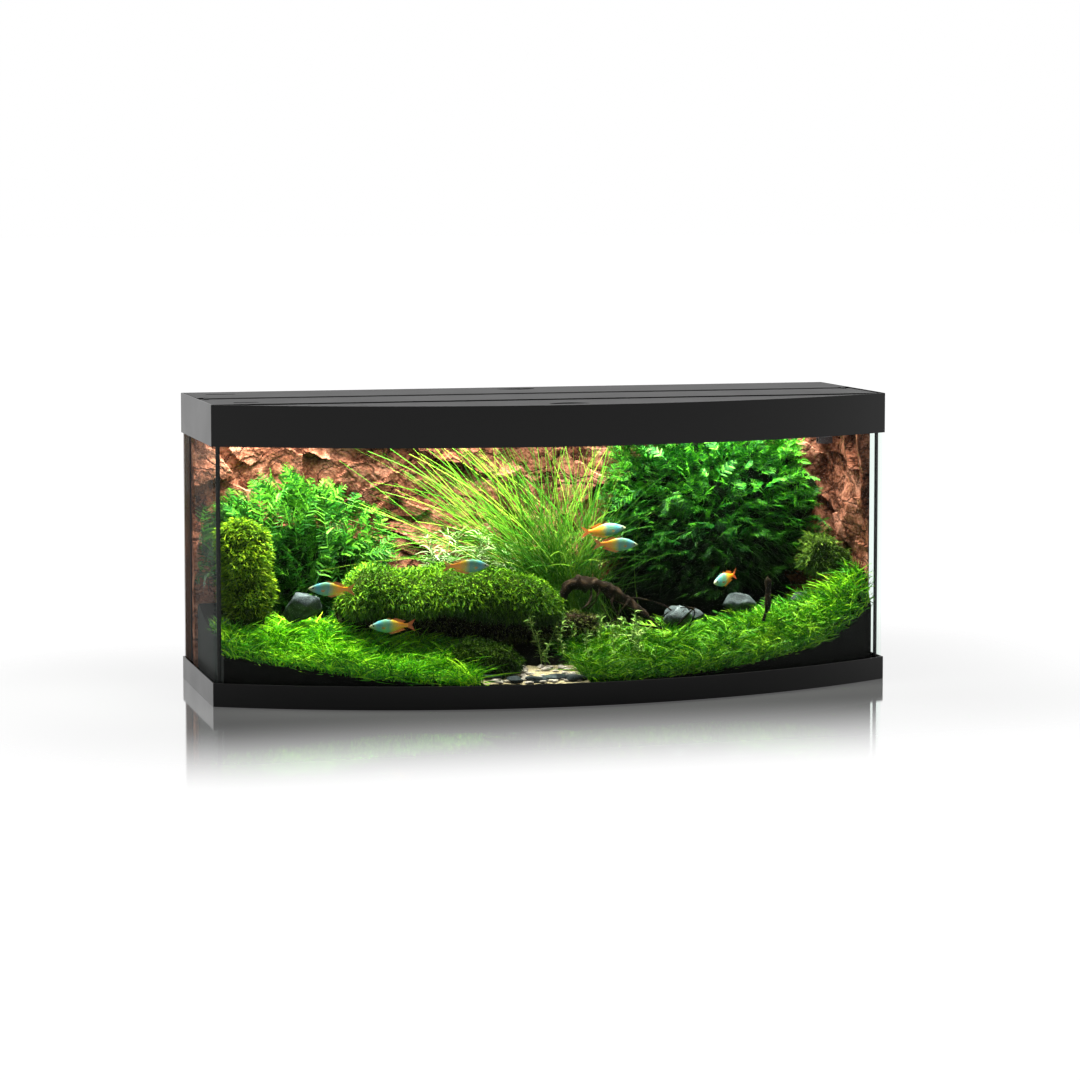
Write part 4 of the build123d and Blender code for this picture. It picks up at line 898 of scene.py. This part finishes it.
def make_moss(moss, moss_lit, moss_dark):
    """Moss over the log, on the upright stump and on the mound in front."""
    for name, node, seed, count in (
        ("mossy_log", "moss_log_cover", 21, 26000),
        ("mossy_mound", "moss_mound", 22, 5200),
    ):
        soup, out = cushion(outline_of(node), seed)
        piece(f"{name}_core", soup, moss_dark, "tank")
        piece(f"{name}_shoots", sprigs(soup[0], out, count, seed), moss, "tank", [node])
    low, high = low_high("moss_column")
    span = high - low
    share = np.linspace(0, 1, 60)
    height = low[2] + share * span[2]
    girth = np.interp(share, [0, 0.2, 0.32, 0.5, 0.75, 0.9, 0.97, 1],
                      [0.3, 0.36, 0.5, 0.42, 0.42, 0.38, 0.26, 0.08])
    across = np.interp(share, [0, 0.35, 0.7, 1], [0.5, 0.48, 0.36, 0.3])
    path = np.column_stack([low[0] + across * span[0], np.full(60, (low[1] + high[1]) / 2), height])
    points, faces = tube(path, girth * span[0], 40, 25, 15 * MM)
    out = unit(points - np.repeat(path, 40, 0) + UP * 0.004)
    piece("mossy_stump_core", (points, faces), moss_dark, "tank")
    bare = 40 * 10  # the lowest ten rings grow nothing
    shoots = sprigs(points[bare:], out[bare:], 11000, 26, (7, 14))
    piece("mossy_stump_shoots", shoots, moss_lit, "tank", ["moss_column"])


# ---------------------------------------------------------------- leafy plants
LEAFLETS = 10


def fronds(tips, root, size, rng, lift=0.25, broad=0.2):
    """Fern fronds that end at tips and grow away from root: a rib with paired leaflets."""
    count = len(tips)
    away = unit(tips - root + rng.normal(size=tips.shape) * 0.05)
    aim = unit(away + UP * lift + rng.normal(size=(count, 3)) * 0.3)
    length = rng.uniform(*size, count)
    bend = -0.28 * length[:, None] * UP + rng.normal(size=(count, 3)) * 0.08 * length[:, None]
    base = tips - aim * length[:, None] - bend
    facing = unit(np.cross(aim, np.cross(UP, aim)) + rng.normal(size=(count, 3)) * 0.35)
    soups = [ribbons(base, aim, length, np.full(count, 1.5 * MM), bend, 5, facing)]
    for k in range(LEAFLETS):
        t = 0.22 + 0.76 * k / (LEAFLETS - 1)
        spot = base + aim * (length * t)[:, None] + bend * t**2
        tangent = unit(aim * length[:, None] + 2 * bend * t)
        side = unit(np.cross(tangent, facing))
        reach = length * broad * (math.sin(math.pi * (0.22 + 0.74 * t)) + 0.12)
        for sign in (-1, 1):
            way = unit(sign * side * 0.85 + tangent * 0.62 + rng.normal(size=(count, 3)) * 0.12)
            wide = reach * rng.uniform(0.15, 0.24, count)
            sag = -0.18 * reach[:, None] * UP + rng.normal(size=(count, 3)) * 0.06 * reach[:, None]
            soups.append(ribbons(spot, way, reach, wide, sag, 2, facing, 0.35))
    return join(*soups)


def make_fern(name, node, material, count, size, seed, root_at, lift, broad):
    """A fern bush whose fronds fill the CAD solid's space from a root inside its foot."""
    rng = np.random.default_rng(seed)
    low, high = low_high(node)
    root = low + np.array(root_at) * (high - low)
    soup = fronds(inside(node, count, rng), root, size, rng, lift, broad)
    piece(name, soup, material, "tank", [node])


def make_corner_fern(material):
    """Fronds of the left bush that reach into the tank's rear corner."""
    rng = np.random.default_rng(86)
    low, high = low_high("fern_bush_left")
    start = np.array([bed_low[0], low[1], low[2] + 0.1])
    end = np.array([low[0] + 0.05, high[1], high[2] - 0.09])
    tips = rng.uniform(start, end, (110, 3))
    root = np.array([low[0] + 0.05, high[1], low[2]])
    piece("fern_corner", fronds(tips, root, (0.06, 0.12), rng), material, "tank")


def make_moss_lump(moss, moss_dark):
    """A ball of moss at the foot of the right bush, on the bank."""
    low, high = low_high("fern_bush_right")
    centre = np.array([high[0] - 0.05, low[1] - 0.02, low[2] + 0.24 * (high[2] - low[2])])
    points, faces = boulder(centre, np.array([0.055, 0.035, 0.034]), 27, 12, 24)
    out = unit(points - centre)
    points = points + out * fractal(points, 0.05, 29, 4)[:, None] * 14 * MM
    piece("moss_lump_core", (points, faces), moss_dark, "tank")
    piece("moss_lump_shoots", sprigs(points, out, 2600, 28), moss, "tank")


def make_shade(name, node, material, place, size, seed):
    """A dark lump in the middle of a bush: painted shade that darkens its inside and hides what is behind
    it.
    """
    low, high = low_high(node)
    span = high - low
    lump = boulder(low + np.array(place) * span, np.array(size) * span, seed, 10, 40)
    piece(name, lump, material, "tank")


def make_long_grass(material, surface):
    """A tall clump that fans out from one root; blades that reach the water's surface lie along it."""
    rng = np.random.default_rng(51)
    low, high = low_high("long_grass")
    count = 900
    root = np.array([low[0] + 0.78 * (high[0] - low[0]), (low[1] + high[1]) / 2, 0.0])
    base = root + rng.normal(size=(count, 3)) * np.array([48, 14, 0]) * MM
    base[:, 2] = ground(base[:, 0], base[:, 1]) + 4 * MM
    lean = np.clip(rng.uniform(-36, 8, count) + 7 * rng.normal(size=count), -41, 14)
    lean[:18] = rng.uniform(14, 36, 18)
    lean = np.radians(lean)
    aim = unit(np.column_stack([np.sin(lean), rng.normal(size=count) * 0.1 - 0.03, np.cos(lean)]))
    length = rng.uniform(0.16, 0.54, count)
    droop = length * rng.uniform(0.05, 0.75, count) ** 1.5
    bend = np.column_stack([np.sin(lean) * 0.3 * length + rng.normal(size=count) * 0.1,
                            rng.normal(size=count) * 0.035 - 0.02, -droop])
    facing = directions(count, rng, 0.5, np.array([0.1, -1.0, 0.2]))
    points, faces = ribbons(base, aim, length, rng.uniform(1.0, 2.3, count) * MM, bend, 14, facing, 0.3)
    over = points[:, 2] - surface
    points[:, 2] = np.where(over > 0, surface - 0.1 * over % (6 * MM), points[:, 2])
    limit_y = low_high("background_relief")[0][1] - 12 * MM
    points[:, 1] = np.minimum(points[:, 1], limit_y)
    piece("tall_grass", (points, faces), material, "tank", ["long_grass"])


def make_stems(pale, green):
    """Pale ribbon-leaved plants behind the log, and slim feathery stems at the sand."""
    rng = np.random.default_rng(61)
    low, high = low_high("stem_plants")
    rows = []
    for k in range(18):
        x = low[0] + (high[0] - low[0]) * (0.3 + 0.6 * k / 17) + rng.normal() * 6 * MM
        rows.append(("stem_plants_back", x, rng.uniform(low[1], high[1]), high[2] - rng.uniform(0.0, 0.08)))
    for k in range(16):
        x, y = rng.uniform(-0.05, 0.17), rng.uniform(-0.2, -0.06)
        rows.append(("stem_plants_front", x, y, ground_at(x, y) + rng.uniform(0.05, 0.12)))
    kinds = {"stem_plants_back": (pale, 12, (26, 56), 0.05),
             "stem_plants_front": (green, 9, (10, 20), 0.16)}
    soups = {name: [] for name in kinds}
    for name, x, y, top in rows:
        _, whorls, size, broad = kinds[name]
        foot = ground_at(x, y)
        sway = rng.normal(size=2) * 0.022
        stem = bezier([(x, y, foot), (x + sway[0], y, (foot + top) / 2),
                       (x + sway[0] + sway[1], y - 0.01, top)], 2 * whorls)
        leaf = np.repeat(stem[whorls // 2 :], 4, 0)
        turn = rng.uniform(0, 2 * math.pi, len(leaf))
        aim = unit(np.column_stack([np.cos(turn), np.sin(turn), rng.uniform(0.3, 1.6, len(leaf))]))
        length = rng.uniform(*size, len(leaf)) * MM
        bend = np.column_stack([rng.normal(size=(len(leaf), 2)) * 0.1, np.full(len(leaf), -0.4)])
        bend *= length[:, None]
        facing = directions(len(leaf), rng, 0.5)
        soups[name].append(ribbons(leaf, aim, length, length * broad, bend, 4, facing))
        soups[name].append(tube(stem, np.full(len(stem), 0.9 * MM), 6))
    for name, (material, *_) in kinds.items():
        replaced = ["stem_plants"] if name == "stem_plants_back" else []
        piece(name, join(*soups[name]), material, "tank", replaced)


def make_water(material, level):
    """The water's surface, a thin sheet inside the panes."""
    x, y = lattice(bed_low[0], bed_high[0], bed_high[1], 80, 30)
    points = np.stack([x, y, np.full(y.shape, level)], -1).reshape(-1, 3)
    points[:, 2] += 0.4 * MM * fractal(points, 0.06, 90)
    piece("water_surface", (points, grid_faces(*y.shape)), material, "tank", keep_in=False)


# ---------------------------------------------------------------- fish
def make_fish(node, skin, fin, eye, tilt):
    """A deep-bodied fish: lofted body, forked tail, two dorsal fins, an anal fin, side fins and eyes."""
    low, high = low_high(node)
    centre = (low + high) / 2
    offset = np.array([v.co for v in nodes[node].data.vertices]) - centre
    farthest = offset[np.argmax(np.linalg.norm(offset[:, :2], axis=1))]
    ahead = unit(farthest * np.array([1, 1, 0]))
    along = offset @ ahead
    length = along.max() - along.min()
    ends = np.abs(along) > 0.45 * length
    if np.sum(along[ends] * np.abs(offset[ends, 2])) > 0:
        ahead = -ahead
    aside = np.array([-ahead[1], ahead[0], 0.0])
    body_length = 0.84 * length
    t = np.linspace(0, 1, 34)
    marks = [0, 0.05, 0.12, 0.25, 0.42, 0.6, 0.78, 0.9, 1]
    upper = np.interp(t, marks, [0.8, 3.6, 6.8, 11.5, 14.5, 13.0, 7.5, 4.6, 4.4]) * MM
    lower = np.interp(t, marks, [0.8, 3.4, 6.4, 11.0, 14.8, 13.2, 7.6, 4.4, 4.2]) * MM
    half = np.interp(t, [0, 0.06, 0.25, 0.5, 0.8, 1], [0.6, 3.2, 6.6, 6.0, 2.4, 1.0]) * MM
    angle = np.linspace(0, 2 * math.pi, 20, endpoint=False)
    high_z = np.where(np.sin(angle) > 0, upper[:, None], lower[:, None]) * np.sin(angle)
    ring = np.stack([np.broadcast_to((0.5 * length - t * body_length)[:, None], high_z.shape),
                     half[:, None] * np.cos(angle), high_z], -1)
    soups = {"body": [(ring.reshape(-1, 3), grid_faces(34, 20, wrap=True))], "fins": [], "eyes": []}

    def fan(root_a, root_b, tip_a, tip_b):
        """A fin: a slightly rayed sheet between a root edge and a free edge."""
        u, v = np.meshgrid(np.linspace(0, 1, 12), np.linspace(0, 1, 7))
        root = root_a + (root_b - root_a) * u[..., None]
        tip = tip_a + (tip_b - tip_a) * u[..., None]
        sheet = root + (tip - root) * v[..., None]
        sheet[..., 1] += 0.35 * MM * np.sin(u * 34) * v
        return sheet.reshape(-1, 3), grid_faces(7, 12)

    def spot(along, up, side=0.0):
        return np.array([0.5 * length - along * body_length, side * MM, up * MM])

    fins = soups["fins"]
    fins.append(fan(spot(0.98, 4.2), spot(0.99, 0.0), spot(1.19, 13.5), spot(1.1, 0.6)))
    fins.append(fan(spot(0.99, 0.0), spot(0.98, -4.2), spot(1.1, -0.6), spot(1.19, -13.5)))
    fins.append(fan(spot(0.42, 14.0), spot(0.52, 13.2), spot(0.5, 18.0), spot(0.57, 15.5)))
    fins.append(fan(spot(0.56, 12.8), spot(0.86, 5.2), spot(0.68, 16.5), spot(0.94, 9.5)))
    fins.append(fan(spot(0.48, -14.2), spot(0.86, -5.2), spot(0.58, -18.0), spot(0.94, -9.5)))
    for side in (-1, 1):
        fins.append(fan(spot(0.27, -1.0, side * 5.2), spot(0.28, -4.5, side * 4.9),
                        spot(0.4, -1.5, side * 9.0), spot(0.38, -6.0, side * 8.0)))
        ball = boulder(spot(0.11, 1.6, side * 3.5), np.array([1.9, 0.9, 1.9]) * MM, 5, 1, 9)
        soups["eyes"].append(ball)
    turn = np.array([[math.cos(tilt), 0, -math.sin(tilt)], [0, 1, 0], [math.sin(tilt), 0, math.cos(tilt)]])
    for part, material in (("body", skin), ("fins", fin), ("eyes", eye)):
        points, faces = join(*soups[part])
        share = 0.5 - points[:, 0] / length
        points = points @ turn.T
        placed = centre + points[:, :1] * ahead + points[:, 1:2] * aside + points[:, 2:] * UP
        replaced = [node] if part == "body" else ()
        made = piece(f"{node}_{part}", (placed, faces), material, "tank", replaced)
        mark = made.data.attributes.new("along", "FLOAT", "POINT")
        mark.data.foreach_set("value", share.astype(np.float32))


# ---------------------------------------------------------------- materials
black = plastic("black_satin", (0.006, 0.006, 0.006), 0.3, 0.24)
black_top = plastic("black_grained", (0.008, 0.008, 0.008), 0.48, 0.22)
pane_glass = clear("float_glass", (0.955, 0.985, 0.97), 0.065)
back_film = plastic("back_film", (0.2, 0.085, 0.05), 0.12, 0.5)
water = clear("water", (0.98, 0.995, 0.99), 0.6)
rubber = plastic("silicone", (0.006, 0.006, 0.006), 0.42, 0.35, 300.0)
filter_black = plastic("filter_plastic", (0.02, 0.02, 0.022), 0.45)
basket_grey = plastic("basket_plastic", (0.07, 0.07, 0.075), 0.5)
pump_black = plastic("pump_plastic", (0.015, 0.015, 0.018), 0.3)
impeller_grey = plastic("impeller_plastic", (0.5, 0.52, 0.55), 0.3)
led_cream = plastic("led_strip", (0.85, 0.8, 0.6), 0.5)
rock = clay_rock()
soil = rubble("soil", [(0.3, (0.001, 0.0008, 0.0005)), (0.6, (0.003, 0.0024, 0.0016)),
                       (0.8, (0.01, 0.008, 0.005))], 260.0, 0.9, 2 * MM)
sand = rubble("sand", [(0.3, (0.05, 0.04, 0.02)), (0.48, (0.22, 0.18, 0.1)),
                       (0.75, (0.5, 0.44, 0.3))], 420.0, 0.9, 1 * MM)
stone = rubble("grey_stone", [(0.36, (0.006, 0.008, 0.008)), (0.5, (0.022, 0.028, 0.029)),
                              (0.62, (0.055, 0.068, 0.07)), (0.78, (0.12, 0.135, 0.14))], 40.0, 0.75, 5 * MM)
pebble = rubble("pebble", [(0.3, (0.08, 0.07, 0.06)), (0.55, (0.34, 0.3, 0.25)),
                           (0.8, (0.6, 0.57, 0.5))], 60.0, 0.6, 1 * MM)
bark = rubble("bark", [(0.36, (0.001, 0.0008, 0.0005)), (0.5, (0.005, 0.0032, 0.002)),
                       (0.7, (0.03, 0.018, 0.01))], 60.0, 0.9, 5 * MM)
moss_dark = rubble("moss_bed", [(0.3, (0.004, 0.008, 0.001)), (0.6, (0.018, 0.035, 0.003)),
                                (0.85, (0.06, 0.1, 0.01))], 90.0, 0.9, 4 * MM)
shade = rubble("leaf_shade", [(0.3, (0.001, 0.002, 0.001)), (0.6, (0.004, 0.009, 0.003)),
                              (0.85, (0.01, 0.03, 0.006))], 60.0, 0.9, 4 * MM)
moss_brown = foliage("moss_old", (0.006, 0.008, 0.002), (0.03, 0.04, 0.006), (0.09, 0.11, 0.015), 0.7, 18.0)
moss_olive = foliage("moss_olive", (0.008, 0.02, 0.003), (0.03, 0.07, 0.006), (0.12, 0.2, 0.015), 0.65, 18.0)
# The last tuple given to foliage paints shade on the lower leaves of the plant.
moss = foliage("moss_shoot", (0.004, 0.022, 0.002), (0.035, 0.12, 0.003), (0.18, 0.36, 0.008),
               0.6, 16.0, (0.13, 0.24, 0.25))
# A brighter copy of moss_shoot for the stump: painted light, as the lamps leave the stump dim.
moss_lit = foliage("moss_lit", (0.008, 0.03, 0.002), (0.09, 0.22, 0.005), (0.42, 0.62, 0.012),
                   0.6, 16.0, (0.13, 0.32, 0.2))
fern_bright = foliage("fern_bright", (0.001, 0.014, 0.002), (0.014, 0.11, 0.006), (0.13, 0.42, 0.02),
                      0.5, 9.0, (0.2, 0.44, 0.3))
fern_dark = foliage("fern_dark", (0.001, 0.015, 0.004), (0.008, 0.12, 0.005), (0.12, 0.52, 0.01),
                    0.5, 6.0, (0.25, 0.5, 0.06))
lawn_left = foliage("lawn_left", (0.004, 0.04, 0.002), (0.06, 0.3, 0.005), (0.46, 0.85, 0.02), 0.5, 14.0)
lawn_right = foliage("lawn_right", (0.004, 0.035, 0.002), (0.045, 0.26, 0.004), (0.42, 0.82, 0.018),
                     0.5, 14.0, (0.08, 0.22, 0.5))
tall_green = foliage("tall_blade", (0.01, 0.09, 0.004), (0.06, 0.26, 0.01), (0.36, 0.6, 0.04),
                     0.4, 6.0, (0.2, 0.46, 0.25))
stem_pale = foliage("stem_pale", (0.06, 0.12, 0.03), (0.17, 0.26, 0.09), (0.4, 0.46, 0.27), 0.5, 20.0)
stem_green = foliage("stem_green", (0.03, 0.08, 0.01), (0.1, 0.2, 0.03), (0.3, 0.4, 0.09), 0.5, 20.0)
fish_skin = fish_material("fish_skin", [(0.0, (0.3, 0.26, 0.14)), (0.08, (0.13, 0.2, 0.14)),
                                        (0.2, (0.05, 0.22, 0.26)), (0.32, (0.11, 0.26, 0.13)),
                                        (0.42, (0.08, 0.23, 0.2)), (0.52, (0.42, 0.32, 0.03)),
                                        (0.64, (0.72, 0.26, 0.01)), (1.0, (0.7, 0.13, 0.01))], 0.35)
fish_fin = fish_material("fish_fin", [(0.3, (0.4, 0.2, 0.05)), (0.6, (0.7, 0.16, 0.02)),
                                      (0.95, (0.6, 0.1, 0.03))], 0.4, 0.75)
fish_eye = plastic("fish_eye", (0.01, 0.01, 0.012), 0.12, 0.8)
foam_blue = rubble("blue_foam", [(0.35, (0.01, 0.04, 0.12)), (0.6, (0.04, 0.14, 0.34)),
                                 (0.8, (0.1, 0.25, 0.5))], 500.0, 0.95, 1 * MM)
foam_black = rubble("black_foam", [(0.35, (0.004, 0.004, 0.004)), (0.7, (0.03, 0.03, 0.032))],
                    500.0, 0.95, 1 * MM)
floss = rubble("white_floss", [(0.35, (0.6, 0.6, 0.57)), (0.7, (0.88, 0.88, 0.85))], 300.0, 0.95, 2 * MM)
pin_steel = metal("pin_steel", (0.55, 0.55, 0.57), 0.3, 400.0)

dress(black, "base_frame", "hood_frame", "centre_brace", "lamp_holders", "cable_grommet")
dress(black_top, "light_housing", "front_flap", "rear_flap", "feeding_hatch")
dress(pane_glass, "front_pane", "left_pane", "right_pane", "bottom_pane", "heater_tube")
dress(back_film, "rear_pane")
dress(rubber, "silicone_seams")
dress(pin_steel, "front_hinge_pins", "rear_hinge_pins", "hatch_pin", "impeller_shaft")
dress(metal("lamp_aluminium", (0.7, 0.71, 0.73), 0.38, 300.0), "led_profiles")
dress(led_cream, "led_strips")
dress(lamp_diffuser(), "led_diffusers")
dress(filter_black, "filter_housing", "intake_grille", "heater_head", "heater_dial")
dress(basket_grey, "filter_basket_lower", "filter_basket_upper")
dress(foam_blue, "coarse_sponge", "fine_sponge")
dress(foam_black, "carbon_sponge")
dress(floss, "filter_floss")
dress(pump_black, "pump_body", "outlet_nozzle")
dress(impeller_grey, "pump_impeller")

# ---------------------------------------------------------------- assembly
LAMP_SHARE = 0.235  # a lamp's distance from the middle, as a share of the whole length
LAMP_BACK = 0.08
WATER_DOWN = 0.026  # the water's surface below the centre brace
ROCK_IN = 4 * MM  # how far a rock face's mesh starts behind its CAD face
bpy.context.scene.view_settings.view_transform = "Standard"
add_camera()
add_world()
add_floor()
brace_low, brace_high = low_high("centre_brace")
water_z = brace_low[2] - WATER_DOWN
tank_middle = (brace_low[1] + brace_high[1]) / 2
for side in (-1, 1):
    lamp_x = side * LAMP_SHARE * (HIGH[0] - LOW[0])
    add_lamp(f"lamp{side}", (lamp_x, tank_middle + LAMP_BACK, brace_high[2] + 4 * MM))

make_soil(soil)
make_sand(sand, pebble, stone)
make_stones(stone)
make_wood(bark, moss_brown)
relief_low, relief_high = low_high("background_relief")
relief_end = bed_high[0] + EDGE
make_relief("rock_back", "background_relief", (-relief_end, relief_low[1] + 6 * MM, relief_low[2]),
            (relief_end + relief_high[0], 0, 0), rock, 11, 420)
side_low, side_high = low_high("side_relief")
make_relief("rock_side", "side_relief", (side_low[0] + ROCK_IN, side_high[1], side_low[2]),
            (0, side_low[1] - side_high[1], 0), rock, 13, 100)
cover_low, cover_high = low_high("filter_cover_relief")
make_relief("rock_filter_front", "filter_cover_relief", (cover_low[0], cover_low[1] + ROCK_IN, cover_low[2]),
            (cover_high[0] - cover_low[0], 0, 0), rock, 14, 90, ["intake_grille", "outlet_nozzle"])
make_relief("rock_filter_side", "filter_cover_relief", (cover_low[0] + ROCK_IN, cover_high[1], cover_low[2]),
            (0, cover_low[1] - cover_high[1], 0), rock, 15, 60)
make_carpet("carpet_grass_left", "left", lawn_left, 10500, 71)
make_carpet("carpet_grass_right", "right", lawn_right, 12500, 72)
make_moss(moss, moss_lit, moss_dark)
make_fern("fern_left", "fern_bush_left", fern_bright, 640, (0.08, 0.16), 81, (0.45, 0.5, 0.0), 0.5, 0.17)
make_corner_fern(fern_bright)
make_fern("fern_right", "fern_bush_right", fern_dark, 2400, (0.035, 0.07), 82, (0.5, 0.9, 0.3), 0.1, 0.24)
# dark lumps inside the bushes: painted shade
make_shade("fern_left_shade_lump", "fern_bush_left", shade, (0.45, 0.75, 0.3), (0.36, 0.3, 0.26), 83)
make_moss_lump(moss_olive, moss_dark)
make_shade("fern_right_foot_shade_lump", "fern_bush_right", shade, (0.36, 0.8, 0.06), (0.42, 0.25, 0.24), 85)
make_shade("fern_right_shade_lump", "fern_bush_right", shade, (0.52, 0.75, 0.4), (0.42, 0.3, 0.42), 84)
make_long_grass(tall_green, water_z)
make_stems(stem_pale, stem_green)
for index, tilt in enumerate((0.05, 0.0, -0.02, 0.08, -0.04, -0.12), 1):
    make_fish(f"fish_{index}", fish_skin, fish_fin, fish_eye, tilt)
make_water(water, water_z)
